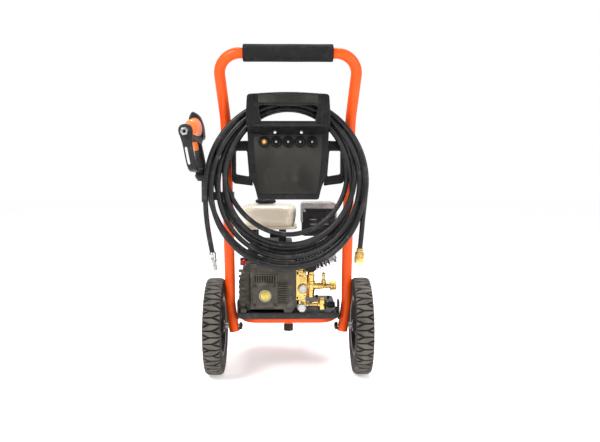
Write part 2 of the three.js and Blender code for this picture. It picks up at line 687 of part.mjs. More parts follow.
// ---------------------------------------------------------------- engine
function addEngineBlock() {
  const base = DECK_TOP_Z + GAP;
  const bodyShape = outline([
    [-152, base], [12, base], [12, base + 12], [0, base + 18], [14, 300, 6], [14, 400, 8],
    [-128, 400, 14], [-142, 360, 14], [-142, base + 18], [-152, base + 12],
  ]);
  const body = plateFront(bodyShape, ENGINE_NEAR_Y, ENGINE_FAR_Y);
  const tankPosts = [-120, -20].flatMap((x) => [-380, -240].map((y) => (
    block(x - 12, x + 12, y - 12, y + 12, 395, TANK_BOTTOM_Z - GAP))));
  const shaftBore = rod('y', SHAFT_RADIUS + 2, ENGINE_NEAR_Y - 5, ENGINE_FAR_Y + 5, pointAt(SHAFT_X, SHAFT_Z));
  const switchBox = block(-161, -137, -440, ENGINE_NEAR_Y + 5, 330, 353);
  const sump = block(-120, -20, -400, -240, base - 5, base + 2);
  // The cylinder is cast with the crankcase and leans to the operator's right.
  const finCuts = [];
  for (let along = 120; along < 205; along += 14) {
    finCuts.push(block(along, along + 6, -60, 60, 22, 60));
    finCuts.push(block(along, along + 6, -60, 60, -60, -22));
  }
  const lean = new THREE.Matrix4().makeRotationY(-CYLINDER_TILT).setPosition(SHAFT_X, -330, SHAFT_Z);
  const barrel = plateSide(boxOutline(-48, 48, -40, 40, 8), 60, 214).applyMatrix4(lean);
  const finned = cut(barrel, ...finCuts.map((gap) => gap.applyMatrix4(lean)));
  const casting = join(body, switchBox, finned, ...tankPosts);
  addPiece(washer, 'engine_block', cut(casting, shaftBore, sump), blackSteel);

  const cylinder = new THREE.Group();
  cylinder.position.set(SHAFT_X, -330, SHAFT_Z);
  cylinder.rotation.y = -CYLINDER_TILT;
  washer.add(cylinder);
  const head = join(
    plateSide(boxOutline(-48, 48, -37, 37, 6), 214 + GAP, 236),
    plateSide(boxOutline(-36, 36, -28, 28, 8), 230, 244));
  addPiece(cylinder, 'cylinder_head', head, alloy);
}

function addFlywheelSide() {
  const shell = 4;
  const near = ENGINE_FAR_Y + GAP;
  const outer = RECOIL_RADIUS;
  const profile = [
    [0, RECOIL_FAR_Y - shell], [58, RECOIL_FAR_Y - shell], [79, -147], [outer - shell, -170],
    [outer - shell, near], [outer, near], [outer, -168], [82, -143], [60, RECOIL_FAR_Y], [0, RECOIL_FAR_Y],
  ];
  const housing = turned('y', profile, pointAt(SHAFT_X, SHAFT_Z), 24);
  const rope = new THREE.Vector3(-45, -158, 0);
  const ropeEye = rod('z', 9, 372, 393, rope);
  const ropePassage = rod('z', 4, 335, 410, rope, 10);
  addPiece(washer, 'recoil_housing', cut(join(housing, ropeEye), ropePassage), alloy);

  const shaftEnd = -172;
  const wheelProfile = [
    [0, -440], [SHAFT_RADIUS, -440], [SHAFT_RADIUS, -208], [30, -208], [82, -206], [82, -172], [74, -172],
    [74, -196], [30, -198], [30, -178], [14, shaftEnd], [0, shaftEnd],
  ];
  addPiece(washer, 'flywheel', turned('y', wheelProfile, pointAt(SHAFT_X, SHAFT_Z), 20), castGrey);

  const grip = join(
    rod('z', 2.5, 335, 398, rope, 8),
    plateSide(boxOutline(-166, -150, 393 + GAP, 411, 5), -70, -20));
  addPiece(washer, 'starter_grip', grip, blackPlastic);
}

function addTank() {
  const shell = 5;
  const plan = (inset) => outline([
    [-165 + inset, -405 + inset, 26], [30 - inset, -405 + inset, 26],
    [30 - inset, -205 - inset, 26], [-165 + inset, -205 - inset, 26],
  ]);
  const body = plateTop(plan(3), TANK_BOTTOM_Z + 8, TANK_TOP_Z - 8, {
    bevelEnabled: true, bevelSize: 8, bevelOffset: -8, bevelThickness: 8, bevelSegments: 2,
  });
  const flange = plateTop(plan(0), TANK_BOTTOM_Z, TANK_BOTTOM_Z + 8);
  const inside = plateTop(plan(3 + shell), TANK_BOTTOM_Z + shell, TANK_TOP_Z - shell);
  const filler = new THREE.Vector3(-80, -300, 0);
  const neck = rod('z', 27, TANK_TOP_Z - 8, TANK_TOP_Z + 3, filler);
  const neckBore = rod('z', 23, TANK_TOP_Z - 20, TANK_TOP_Z + 10, filler);
  addPiece(washer, 'fuel_tank', cut(join(body, flange, neck), inside, neckBore), tankCream);

  const capProfile = [
    [0, TANK_TOP_Z + 3 + GAP], [33, TANK_TOP_Z + 3 + GAP], [36, TANK_TOP_Z + 6], [36, TANK_TOP_Z + 14],
    [32, TANK_TOP_Z + 17], [0, TANK_TOP_Z + 17],
  ];
  addPiece(washer, 'fuel_cap', turned('z', capProfile, filler, 16), blackPlastic);
}

function addMuffler() {
  const wall = 3;
  const guardShape = boxOutline(43, 165, 424, 537, 16);
  const roomShape = boxOutline(43 + wall, 165 - wall, 424 + wall, 537 - wall, 13);
  const guard = plateFront(guardShape, -405, -300);
  const room = plateFront(roomShape, -405 + wall, -290);
  const openBottom = block(43 + 12, 165 - 12, -390, -290, 415, 440);
  const louvres = [];
  for (let i = 0; i < 4; i += 1) {
    const z = 450 + i * 16;
    louvres.push(block(62, 146, -410, -400, z, z + 5));
  }
  addPiece(washer, 'muffler_guard', cut(guard, room, openBottom, ...louvres), alloy);

  const can = plateFront(boxOutline(52, 156, 432, 526, 14), -396, -302);
  const pipe = rod('z', 13, 412, 440, new THREE.Vector3(112, -330, 0), 14);
  addPiece(washer, 'muffler', join(can, pipe), blackSteel);

  const cleaner = join(
    plateTop(boxOutline(50, 152, -288, -195, 16), 436, 520),
    plateTop(boxOutline(60, 142, -280, -203, 12), 425, 440));
  addPiece(washer, 'air_cleaner', cleaner, blackPlastic);
}

function addEngineControls() {
  const switchPlace = pointAt(-149, 341.5);
  const knob = join(
    rod('y', 8, -452, -440 - GAP, switchPlace, 14),
    block(-151, -147, -456, -450, 335, 348));
  addPiece(washer, 'engine_switch', knob, redPlastic);

  const pivot = new THREE.Vector3(-60, -405, 0);
  const lever = join(
    rod('z', 8, 400 + GAP, 404, pivot, 14),
    block(-64, -56, -440, -405, 400 + GAP, 403),
    rod('z', 5, 400 + GAP, 412, new THREE.Vector3(-60, -438, 0), 12));
  addPiece(washer, 'throttle_lever', lever, zinc);
}

// ---------------------------------------------------------------- spray gun
function addGun() {
  const gun = new THREE.Group();
  gun.position.set(GUN_X, GUN_FRONT_Y, GUN_FRONT_Z);
  gun.rotation.set(0, GUN_ROLL, GUN_YAW);
  washer.add(gun);
  // Inside this group y is the distance behind the gun's front face and z is height above the bore.
  const rise = Math.tan(GUN_PITCH);
  const alongBore = (y, x = 0) => [x, y, y * rise];

  const headShape = outline([
    [-19, 6, 16], [-12, 21, 10], [12, 21, 10], [19, 6, 16], [15, -24, 12], [14, -46], [-14, -46], [-15, -24, 12],
  ]);
  const head = plateFront(headShape, 0, 22);
  const bore = strut(alongBore(4), alongBore(190), 11);
  const strapShape = outline([
    [2, -20], [14, -20], [22, -80, 20], [52, -101, 14], [150, -104], [150, -116], [46, -114, 20], [12, -90, 20],
  ]);
  const strap = plateSide(strapShape, -14, 14);
  const window = plateFront(boxOutline(-10.5, -1.5, -95, -42, 3), -20, 62);
  const grip = strut(alongBore(163), [6, 150, -122], 15);
  const backShape = outline([
    [-21, 2, 16], [-14, 38, 14], [0, 50, 4], [14, 38, 14], [23, 2, 16], [17, -24, 12], [-15, -24, 12],
  ]);
  const back = plateFront(backShape, 142, 190);
  const seat = GAP + 11;
  const shellShape = outline([
    [-20, 22, 18], [-12, 46, 14], [12, 46, 14], [20, 22, 18], [19, -6, 14], [-19, -6, 14],
  ]);
  const shell = cut(plateFront(shellShape, 40, 142 - GAP), strut(alongBore(0), alongBore(200), seat));
  addPiece(gun, 'gun_shell', shell, orangePlastic);
  addPiece(gun, 'gun_body', join(head, bore, cut(strap, window), grip, back), blackPlastic);
  const triggerShape = outline([
    [98, -14, 4], [128, -12, 4], [120, -34, 6], [124, -62, 8], [112, -66, 6], [104, -36, 6],
  ]);
  addPiece(gun, 'gun_trigger', plateSide(triggerShape, -5, 9), orangePlastic);

  const nut = cut(hexagon('y', 22, -12, -GAP, new THREE.Vector3()), rod('y', 4, -20, -4, new THREE.Vector3(), 12));
  addPiece(gun, 'gun_outlet', nut, zinc);
}

function addHolster() {
  const cup = new THREE.Vector3(-260, -604, 0);
  const profile = [
    [0, 614], [17, 614], [24, 624], [28, 658], [25, 658], [21, 628], [0, 625],
  ];
  const notch = block(-296, -240, -640, cup.y + 6, 634, 670);
  const stem = rod('z', 10, 549, 618, new THREE.Vector3(-256, cup.y, 0));
  const clampHeight = [556, 580];
  const clamp = block(-256, -168, -622, -572, ...clampHeight);
  const leg = strut([-185, AXLE_Y - 19.5, 455], [-187.4, AXLE_Y - 49, 690], TUBE_RADIUS + 1.5);
  const holster = cut(join(turned('z', profile, cup), stem, clamp), leg, notch);
  addPiece(washer, 'gun_holster', holster, blackPlastic);
}

addHandleFrame();
addBaseFrame();
addDeck();
addWheel('left', -1);
addWheel('right', 1);
addPanel();
addNozzles();
addHose();
addPumpCase();
addPumpDrive();
addPumpHead();
addWaterParts();
addEngineBlock();
addFlywheelSide();
addTank();
addMuffler();
addEngineControls();
addGun();
addHolster();

export default washer;
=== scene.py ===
"""Petrol pressure washer on a trolley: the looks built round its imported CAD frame.

Shapes are drawn in millimetres in the frame's own axes (X right, Y forward, Z up) and scaled to
metres when they become objects.
"""
import math

import bmesh
import bpy
import numpy as np
from mathutils import Matrix, Vector


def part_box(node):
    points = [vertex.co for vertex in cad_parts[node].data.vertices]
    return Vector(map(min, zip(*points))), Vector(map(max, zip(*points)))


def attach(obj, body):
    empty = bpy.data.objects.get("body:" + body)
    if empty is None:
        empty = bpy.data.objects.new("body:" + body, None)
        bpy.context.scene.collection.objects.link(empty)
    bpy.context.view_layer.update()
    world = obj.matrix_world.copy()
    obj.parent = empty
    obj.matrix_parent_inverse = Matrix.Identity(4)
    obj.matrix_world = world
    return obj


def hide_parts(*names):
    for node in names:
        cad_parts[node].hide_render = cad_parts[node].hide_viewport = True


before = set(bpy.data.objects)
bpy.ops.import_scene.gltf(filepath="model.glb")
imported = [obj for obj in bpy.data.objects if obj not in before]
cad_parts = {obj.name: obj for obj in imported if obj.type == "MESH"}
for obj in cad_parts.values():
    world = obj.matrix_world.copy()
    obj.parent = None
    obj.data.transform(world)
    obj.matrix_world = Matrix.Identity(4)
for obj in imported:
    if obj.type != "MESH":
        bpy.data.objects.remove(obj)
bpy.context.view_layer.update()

MM = 0.001
TUBE_RADIUS = 16
HOSE_DIAMETER = 15
SHARP_ANGLE = math.radians(38)
SOFTENED_ANGLE = math.radians(32)
FLAT_ANGLE = math.radians(1.5)


# ---------------------------------------------------------------- places taken from the frame
def node_box(name):
    """Lowest and highest corner of a CAD node, in millimetres."""
    low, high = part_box(name)
    return low / MM, high / MM


def middle(name):
    low, high = node_box(name)
    return (low + high) / 2


def angles(count, first=0.0):
    """Equal steps of a full turn."""
    return [first + 2 * math.pi * k / count for k in range(count)]


def new_object(name, data):
    made = bpy.data.objects.new(name, data)
    bpy.context.scene.collection.objects.link(made)
    return made


# ---------------------------------------------------------------- camera, floor and light
CAMERA_PLACE = (0.0, -2.61, 0.645)
CAMERA_PITCH = 4.40
CAMERA_TURN = -1.03
LENS = 39.12
FLOOR_REACH = 12.0
FLOOR_GLOW = 0.40
SKY_LIGHT = 0.62
SKY_SEEN = 1.0
LIGHT_TARGET = Vector((0.0, -0.45, 0.5))
# name, place, width in metres, power in watts
LIGHTS = [("key", (-1.6, -2.4, 2.4), 1.1, 70), ("fill", (2.2, -2.2, 1.2), 1.4, 30),
    ("top", (0.2, 0.3, 2.8), 1.4, 55)]


def add_camera():
    data = bpy.data.cameras.new("camera")
    data.lens = LENS
    data.sensor_width = 36
    camera = new_object("camera", data)
    camera.location = CAMERA_PLACE
    camera.rotation_euler = (math.radians(90 - CAMERA_PITCH), 0.0, math.radians(CAMERA_TURN))
    bpy.context.scene.camera = camera


def add_area_light(name, place, size, power):
    data = bpy.data.lights.new(name, "AREA")
    data.shape = "DISK"
    data.size = size
    data.energy = power
    light = new_object(name, data)
    light.location = place
    light.rotation_euler = (LIGHT_TARGET - Vector(place)).to_track_quat("-Z", "Y").to_euler()


def add_studio():
    floor_mesh = bpy.data.meshes.new("floor")
    corners = [(FLOOR_REACH * x, FLOOR_REACH * y, 0) for x, y in ((-1, -1), (1, -1), (1, 1), (-1, 1))]
    floor_mesh.from_pydata(corners, [], [(0, 1, 2, 3)])
    floor = new_object("floor", floor_mesh)
    paper = surface("floor_paper", (0.94, 0.94, 0.94), 0.95, grain=0.0, mottle=0.01)
    lit = paper.node_tree.nodes["Principled BSDF"].inputs
    lit["Emission Color"].default_value = (1.0, 1.0, 1.0, 1.0)
    lit["Emission Strength"].default_value = FLOOR_GLOW
    floor_mesh.materials.append(paper)
    world = bpy.data.worlds.new("studio")
    world.use_nodes = True
    background = world.node_tree.nodes["Background"]
    background.inputs["Color"].default_value = (1.0, 1.0, 1.0, 1.0)
    # The backdrop itself looks white; as a light it is weaker, so that black parts stay black.
    seen = world.node_tree.nodes.new("ShaderNodeLightPath")
    level = world.node_tree.nodes.new("ShaderNodeMapRange")
    level.inputs["To Min"].default_value = SKY_LIGHT
    level.inputs["To Max"].default_value = SKY_SEEN
    world.node_tree.links.new(seen.outputs["Is Camera Ray"], level.inputs["Value"])
    world.node_tree.links.new(level.outputs["Result"], background.inputs["Strength"])
    bpy.context.scene.world = world
    for light in LIGHTS:
        add_area_light(*light)
    bpy.context.scene.view_settings.view_transform = "Standard"


# ---------------------------------------------------------------- materials
class Nodes:
    """Small helper that adds shader nodes to a material and joins them up."""

    def __init__(self, name):
        self.material = bpy.data.materials.new(name)
        self.material.use_nodes = True
        self.tree = self.material.node_tree
        self.shader = self.tree.nodes["Principled BSDF"]
        self.place = self.tree.nodes.new("ShaderNodeTexCoord").outputs["Object"]

    def give(self, node, inputs):
        """Joins an output to each named input, or sets the input's own value."""
        for name, value in inputs.items():
            if isinstance(value, bpy.types.NodeSocket):
                self.tree.links.new(value, node.inputs[name])
            else:
                node.inputs[name].default_value = value

    def add(self, kind, output, inputs):
        node = self.tree.nodes.new(kind)
        self.give(node, inputs)
        return node.outputs[output]

    def noise(self, scale, detail=4.0, stretch=(1, 1, 1)):
        place = self.add("ShaderNodeMapping", "Vector", {"Scale": stretch, "Vector": self.place})
        return self.add("ShaderNodeTexNoise", "Fac", {"Scale": scale, "Detail": detail, "Vector": place})

    def cells(self, scale):
        return self.add("ShaderNodeTexVoronoi", "Distance", {"Scale": scale, "Vector": self.place})

    def ramp(self, value, low, high, start=0.35, end=0.65):
        """Maps a texture value to the range low to high."""
        return self.add("ShaderNodeMapRange", "Result", {
            "From Min": start, "From Max": end, "To Min": low, "To Max": high, "Value": value})

    def mix(self, factor, first, second):
        mix = self.tree.nodes.new("ShaderNodeMix")
        mix.data_type = "RGBA"
        first, second = [(*c, 1.0) if isinstance(c, tuple) else c for c in (first, second)]
        self.give(mix, {"Factor": factor, "A": first, "B": second})
        return mix.outputs["Result"]

    def bump(self, height, depth):
        return self.add("ShaderNodeBump", "Normal", {
            "Strength": 1.0, "Distance": depth * MM, "Height": height})

    def finish(self, inputs):
        self.give(self.shader, inputs)
        return self.material


def shade(colour, factor):
    return tuple(min(1.0, c * factor) for c in colour)


def surface(name, colour, roughness=0.5, metallic=0.0, grain=0.15, grain_size=420.0, mottle=0.18,
            mottle_size=18.0, wear_and_sheen=None, coat=0.0, cells=False, streaks=(1, 1, 1), shine=0.24):
    """A procedural finish: mottled colour, uneven gloss and a fine raised grain."""
    nodes = Nodes(name)
    broad = nodes.noise(mottle_size, stretch=streaks)
    fine = nodes.noise(grain_size, detail=3.0)
    tone = nodes.mix(nodes.ramp(broad, 0.0, 1.0), shade(colour, 1 - mottle), shade(colour, 1 + mottle))
    # A second colour laid on in scuffs: real wear on most finishes, painted sheen on the panel recess.
    if wear_and_sheen is not None:
        scuff_and_sheen_mask = nodes.noise(mottle_size * 2.3, detail=9.0, stretch=streaks)
        tone = nodes.mix(nodes.ramp(scuff_and_sheen_mask, 0.0, 0.75, start=0.52, end=0.74), tone, wear_and_sheen)
    height = nodes.cells(grain_size * 0.6) if cells else fine
    return nodes.finish({
        "Base Color": tone, "Roughness": nodes.ramp(broad, roughness * 0.86, min(1.0, roughness * 1.16)),
        "Metallic": metallic, "Coat Weight": coat, "Coat Roughness": 0.12, "Specular IOR Level": shine,
        "Normal": nodes.bump(height, grain)})


def hose_rubber():
    """Wrapped rubber cover: fine cloth print with the marks of handling."""
    nodes = Nodes("hose_cover")
    broad = nodes.noise(14.0)
    print_marks = nodes.noise(900.0, detail=2.0)
    tone = nodes.mix(nodes.ramp(broad, 0.0, 1.0), (0.006, 0.006, 0.007), (0.016, 0.015, 0.016))
    dust = nodes.noise(60.0, detail=8.0)
    tone = nodes.mix(nodes.ramp(dust, 0.0, 0.5, start=0.55, end=0.8), tone, (0.085, 0.082, 0.078))
    return nodes.finish({
        "Base Color": tone, "Roughness": nodes.ramp(broad, 0.30, 0.44), "Specular IOR Level": 0.30,
        "Normal": nodes.bump(print_marks, 0.12)})


def tyre_rubber():
    """Dusty blocks of the tread; the carcass below them has a finish of its own, painted much darker as shade
    in the grooves.
    """
    nodes = Nodes("tyre_rubber")
    dust = nodes.noise(30.0, detail=8.0)
    tone = nodes.mix(nodes.ramp(dust, 0.0, 1.0), (0.050, 0.046, 0.038), (0.125, 0.114, 0.096))
    return nodes.finish({
        "Base Color": tone, "Roughness": nodes.ramp(dust, 0.66, 0.86),
        "Normal": nodes.bump(nodes.noise(500.0), 0.25)})


def make_materials():
    return {
        "orange": surface("orange_powder_coat", (0.84, 0.082, 0.005), 0.36, grain=0.05, grain_size=700,
                          mottle=0.05),
        "foam": surface("handle_foam", (0.010, 0.010, 0.010), 0.95, grain=0.5, grain_size=900, cells=True,
                        wear_and_sheen=(0.022, 0.022, 0.022)),
        "black_rubber": surface("foot_rubber", (0.018, 0.018, 0.018), 0.6, wear_and_sheen=(0.05, 0.05, 0.048)),
        "hose": hose_rubber(),
        "tyre": tyre_rubber(),
        # Painted shade: the groove floors are much darker than the tread blocks.
        "shaded_groove_rubber": surface("tyre_carcass", (0.015, 0.013, 0.011), 0.7, wear_and_sheen=(0.030, 0.028, 0.026)),
        "black_steel": surface("black_satin_steel", (0.011, 0.011, 0.012), 0.34, grain=0.06,
                               wear_and_sheen=(0.06, 0.06, 0.06), coat=0.2),
        "engine_black": surface("black_painted_casting", (0.013, 0.013, 0.014), 0.42, grain=0.45,
                                grain_size=260, wear_and_sheen=(0.045, 0.045, 0.045)),
        "zinc": surface("zinc_plate", (0.46, 0.46, 0.44), 0.28, 1.0, grain=0.06, mottle=0.15, mottle_size=60,
                        wear_and_sheen=(0.42, 0.42, 0.41)),
        "wheel": surface("wheel_nylon", (0.013, 0.013, 0.014), 0.42, wear_and_sheen=(0.04, 0.04, 0.042)),
        "plastic": surface("black_moulding", (0.007, 0.007, 0.007), 0.36, grain=0.10, grain_size=650,
                           wear_and_sheen=(0.020, 0.020, 0.018)),
        # The recess's broad light mottles and its lighter scuff colour are painted sheen, standing in for
        # reflections on the gloss.
        "panel_face": surface("panel_recess_painted_sheen", (0.022, 0.020, 0.017), 0.36, grain=0.16, grain_size=520,
                              mottle=0.5, mottle_size=6, wear_and_sheen=(0.062, 0.058, 0.050), streaks=(1, 1, 0.8)),
        "gun_plastic": surface("gun_moulding", (0.012, 0.012, 0.013), 0.44, grain=0.14,
                               wear_and_sheen=(0.035, 0.035, 0.035)),
        "orange_plastic": surface("orange_moulding", (0.95, 0.20, 0.035), 0.34, grain=0.06, mottle=0.08,
                                  coat=0.2),
        "amber": surface("amber_cap", (0.55, 0.20, 0.02), 0.30, grain=0.04, mottle=0.1),
        "red_plastic": surface("red_knob", (0.70, 0.02, 0.02), 0.30, grain=0.05, mottle=0.1),
        "brass": surface("bright_brass", (0.74, 0.51, 0.17), 0.26, 1.0, grain=0.12, grain_size=240,
                         mottle=0.28, mottle_size=40, wear_and_sheen=(0.40, 0.26, 0.09)),
        "pump_grey": surface("pump_casting", (0.062, 0.055, 0.044), 0.42, 0.2, grain=0.55,
                             grain_size=300, mottle=0.25, wear_and_sheen=(0.15, 0.135, 0.11)),
        "alloy": surface("cast_alloy", (0.52, 0.53, 0.54), 0.36, 0.9, grain=0.35, grain_size=260,
                         mottle=0.15, wear_and_sheen=(0.35, 0.35, 0.36)),
        "alloy_bright": surface("pressed_alloy", (0.40, 0.40, 0.39), 0.40, 0.7, grain=0.06, mottle=0.2,
                                mottle_size=40, wear_and_sheen=(0.26, 0.26, 0.25)),
        "painted_shade": surface("shadow_black", (0.004, 0.004, 0.004), 0.8, grain=0.1),
        "iron": surface("cast_iron_wheel", (0.08, 0.08, 0.08), 0.5, 0.6, grain=0.5, grain_size=260),
        "cream": surface("tank_enamel", (0.78, 0.72, 0.57), 0.22, shine=0.5, grain=0.03, mottle=0.07,
                         mottle_size=6, coat=0.5),
        "sight_glass": surface("sight_glass_oil", (0.56, 0.42, 0.06), 0.12, shine=0.5, grain=0.02, mottle=0.3,
                               mottle_size=60, coat=0.6),
        "sight_rim": surface("sight_glass_rim", (0.30, 0.28, 0.20), 0.3, grain=0.03),
    }


# ---------------------------------------------------------------- shapes, as (points, faces)
def combined(*shapes):
    points, faces = [], []
    for shape_points, shape_faces in shapes:
        start = len(points)
        points.extend(shape_points)
        faces.extend([tuple(start + i for i in face) for face in shape_faces])
    return points, faces


def moved(shape, matrix):
    return [matrix @ Vector(p) for p in shape[0]], shape[1]


def from_node(name):
    """The CAD node's own shape, to be given soft edges."""
    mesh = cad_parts[name].data
    return [v.co / MM for v in mesh.vertices], [tuple(p.vertices) for p in mesh.polygons]


def on_axis(axis, centre, radius_u, radius_v, along):
    """A point beside the line through centre along the named axis, at that place along it."""
    if axis == "x":
        return Vector((along, centre[1] + radius_u, centre[2] + radius_v))
    if axis == "y":
        return Vector((centre[0] + radius_u, along, centre[2] + radius_v))
    return Vector((centre[0] + radius_u, centre[1] + radius_v, along))


def lathe(axis, profile, centre=(0, 0, 0), sides=48, start=0.0):
    """Revolves (radius, along) pairs, along being counted from start.

    A profile that doesn't start and end on the axis closes on itself.
    """
    closed = profile[0][0] == 0 and profile[-1][0] == 0
    points, index = [], []
    for radius, along in profile:
        if radius == 0:
            index.append([len(points)] * sides)
            points.append(on_axis(axis, centre, 0, 0, start + along))
            continue
        index.append(list(range(len(points), len(points) + sides)))
        for a in angles(sides):
            points.append(on_axis(axis, centre, radius * math.cos(a), radius * math.sin(a), start + along))
    if not closed:
        index.append(index[0])
    faces = []
    for near, far in zip(index, index[1:]):
        for k in range(sides):
            corners = [near[k], near[(k + 1) % sides], far[(k + 1) % sides], far[k]]
            distinct = list(dict.fromkeys(corners))
            if len(distinct) > 2:
                faces.append(tuple(distinct))
    return points, faces


def rod(axis, radius, start, end, centre=(0, 0, 0), sides=40, edge=0.6):
    low, high = min(start, end), max(start, end)
    edge = min(edge, radius * 0.4, (high - low) * 0.4)
    return lathe(axis, [(0, low), (radius - edge, low), (radius, low + edge), (radius, high - edge),
                        (radius - edge, high), (0, high)], centre, sides)


def knurl(axis, radius, start, end, centre, ring, count, sides=8, edge=0.3, first=0.0):
    """Small rods along an axis, evenly spaced on a ring about it."""
    places = [on_axis(axis, centre, ring * math.cos(a), ring * math.sin(a), 0) for a in angles(count, first)]
    return [rod(axis, radius, start, end, place, sides, edge) for place in places]


def hexagon(axis, across_flats, start, end, centre=(0, 0, 0)):
    return rod(axis, across_flats / math.sqrt(3), start, end, centre, sides=6, edge=1.2)


def rounded(points, steps=5):
    """Polygon whose corners are rounded; a point is (across, up, length cut off each side of it)."""
    corners = [(Vector(p[:2]), p[2] if len(p) > 2 else 0) for p in points]
    result = []
    for i, (corner, wanted) in enumerate(corners):
        before = corners[i - 1][0]
        after = corners[(i + 1) % len(corners)][0]
        radius = min(wanted, 0.45 * (corner - before).length, 0.45 * (corner - after).length)
        if radius <= 0:
            result.append(corner)
            continue
        start = corner + (before - corner).normalized() * radius
        end = corner + (after - corner).normalized() * radius
        for k in range(steps + 1):
            t = k / steps
            result.append(start * (1 - t) ** 2 + corner * 2 * t * (1 - t) + end * t ** 2)
    return result


def box_outline(u0, u1, v0, v1, radius):
    return rounded([(u0, v0, radius), (u1, v0, radius), (u1, v1, radius), (u0, v1, radius)])


def circle(u, v, radius, count, height=None, first=0.0):
    """Points on a circle, or on an ellipse when its half-height is given."""
    return [(u + radius * math.cos(a), v + (height or radius) * math.sin(a)) for a in angles(count, first)]


PLANES = {
    "front": Matrix(((1, 0, 0, 0), (0, 0, 1, 0), (0, 1, 0, 0), (0, 0, 0, 1))),
    "top": Matrix.Identity(4),
    "side": Matrix(((0, 0, 1, 0), (1, 0, 0, 0), (0, 1, 0, 0), (0, 0, 0, 1))),
}


def baked(made):
    return bpy.data.meshes.new_from_object(made.evaluated_get(bpy.context.evaluated_depsgraph_get()))


def plate(plane, outlines, low, high, edge=0.8, edge_steps=2):
    """Flat plate with holes and rounded edges. The first outline is the outside, the others are holes."""
    curve = bpy.data.curves.new("plate", "CURVE")
    curve.dimensions = "2D"
    curve.fill_mode = "BOTH"
    curve.bevel_depth = edge
    curve.bevel_resolution = edge_steps
    curve.offset = -edge
    curve.extrude = max(0.0, (high - low) / 2 - edge)
    for outline in outlines:
        spline = curve.splines.new("POLY")
        spline.points.add(len(outline) - 1)
        for point, place in zip(spline.points, outline):
            point.co = (place[0], place[1], 0, 1)
        spline.use_cyclic_u = True
    holder = new_object("plate", curve)
    mesh = baked(holder)
    lift = Matrix.Translation((0, 0, (low + high) / 2))
    points = [PLANES[plane] @ (lift @ v.co) for v in mesh.vertices]
    faces = [tuple(p.vertices) for p in mesh.polygons]
    bpy.data.meshes.remove(mesh)
    bpy.data.objects.remove(holder)
    bpy.data.curves.remove(curve)
    return points, faces


def block(x0, x1, y0, y1, z0, z1, edge=0.8, corner=1.5):
    return plate("top", [box_outline(x0, x1, y0, y1, corner)], z0, z1, edge)


def sweep(points, radius, sides=24):
    """Round bar along a line of points, with flat ends."""
    points = [Vector(p) for p in points]
    tangents = []
    for i in range(len(points)):
        ahead = points[min(i + 1, len(points) - 1)]
        behind = points[max(i - 1, 0)]
        tangents.append((ahead - behind).normalized())
    normal = tangents[0].orthogonal().normalized()
    rings = []
    for point, tangent in zip(points, tangents):
        normal = (normal - tangent * normal.dot(tangent)).normalized()
        side = tangent.cross(normal)
        rings.append([point + (normal * math.cos(a) + side * math.sin(a)) * radius for a in angles(sides)])
    return loft(rings)


def loft(rings):
    """Closed skin over rings with the same number of points, capped at both ends."""
    count = len(rings[0])
    points = [Vector(p) for ring in rings for p in ring]
    faces = []
    for r in range(len(rings) - 1):
        for k in range(count):
            a, b = r * count + k, r * count + (k + 1) % count
            faces.append((a, b, b + count, a + count))
    faces.append(tuple(reversed(range(count))))
    faces.append(tuple(range((len(rings) - 1) * count, len(rings) * count)))
    return points, faces


def oval(centre, across, up, half_width, half_height, power=2.0, sides=36):
    """Ring of points: an ellipse at power 2, squarer above it."""
    ring = []
    for a in angles(sides):
        c, s = math.cos(a), math.sin(a)
        u = math.copysign(abs(c) ** (2 / power), c) * half_width
        v = math.copysign(abs(s) ** (2 / power), s) * half_height
        ring.append(Vector(centre) + Vector(across) * u + Vector(up) * v)
    return ring


def bent_path(points, radii, step=math.radians(6)):
    """Straight runs joined by arcs, as a bender makes them."""
    corners = [Vector(p) for p in points]
    path = [corners[0]]
    for corner, before, after, radius in zip(corners[1:-1], corners, corners[2:], radii):
        incoming = (corner - before).normalized()
        outgoing = (after - corner).normalized()
        angle = incoming.angle(outgoing)
        if angle < 1e-4:
            path.append(corner)
            continue
        inward = (outgoing - incoming * incoming.dot(outgoing)).normalized()
        start = corner - incoming * radius * math.tan(angle / 2)
        count = max(3, math.ceil(angle / step))
        for k in range(count + 1):
            turn = angle * k / count
            path.append(start + inward * radius * (1 - math.cos(turn)) + incoming * radius * math.sin(turn))
    path.append(corners[-1])
    return path


def mirrored(points):
    return [(-p[0], *p[1:]) for p in reversed(points)]


# ---------------------------------------------------------------- pieces
def clean_mesh(name, points, faces, merge, soften=0.0):
    """Mesh of a shape, its doubled points merged. soften rounds its sharp edges by that many millimetres."""
    mesh = bpy.data.meshes.new(name)
    mesh.from_pydata(points, [], faces)
    shell = bmesh.new()
    shell.from_mesh(mesh)
    bmesh.ops.remove_doubles(shell, verts=shell.verts, dist=merge)
    if soften:
        bmesh.ops.dissolve_limit(shell, angle_limit=FLAT_ANGLE, verts=shell.verts, edges=shell.edges,
                                 delimit={"NORMAL"})
        sharp = [e for e in shell.edges if len(e.link_faces) == 2 and e.calc_face_angle() > SOFTENED_ANGLE]
        bmesh.ops.bevel(shell, geom=sharp, offset=soften * MM, offset_type="OFFSET", segments=2,
                        profile=0.6, affect="EDGES", clamp_overlap=True)
    bmesh.ops.recalc_face_normals(shell, faces=shell.faces)
    shell.to_mesh(mesh)
    shell.free()
    return mesh


def assign(made, body, nodes):
    """Puts an object on the body it rides on, and hides the CAD nodes it stands for."""
    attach(made, body)
    if nodes:
        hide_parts(*nodes)


def piece(name, shape, material, nodes=(), body="trolley", soften=0.0):
    points, faces = shape
    mesh = clean_mesh(name, [Vector(p) * MM for p in points], faces, 2e-6, soften)
    mesh.polygons.foreach_set("use_smooth", [True] * len(mesh.polygons))
    mesh.set_sharp_from_angle(angle=SHARP_ANGLE)
    mesh.materials.append(MATERIALS[material])
    made = new_object(name, mesh)
    assign(made, body, nodes)
    return made


def finish_node(name, material):
    """Gives a CAD node that stays visible its finish."""
    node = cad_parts[name]
    for place in node.material_slots:
        place.material = MATERIALS[material]
    if not node.material_slots:
        node.data.materials.append(MATERIALS[material])


MATERIALS = make_materials()


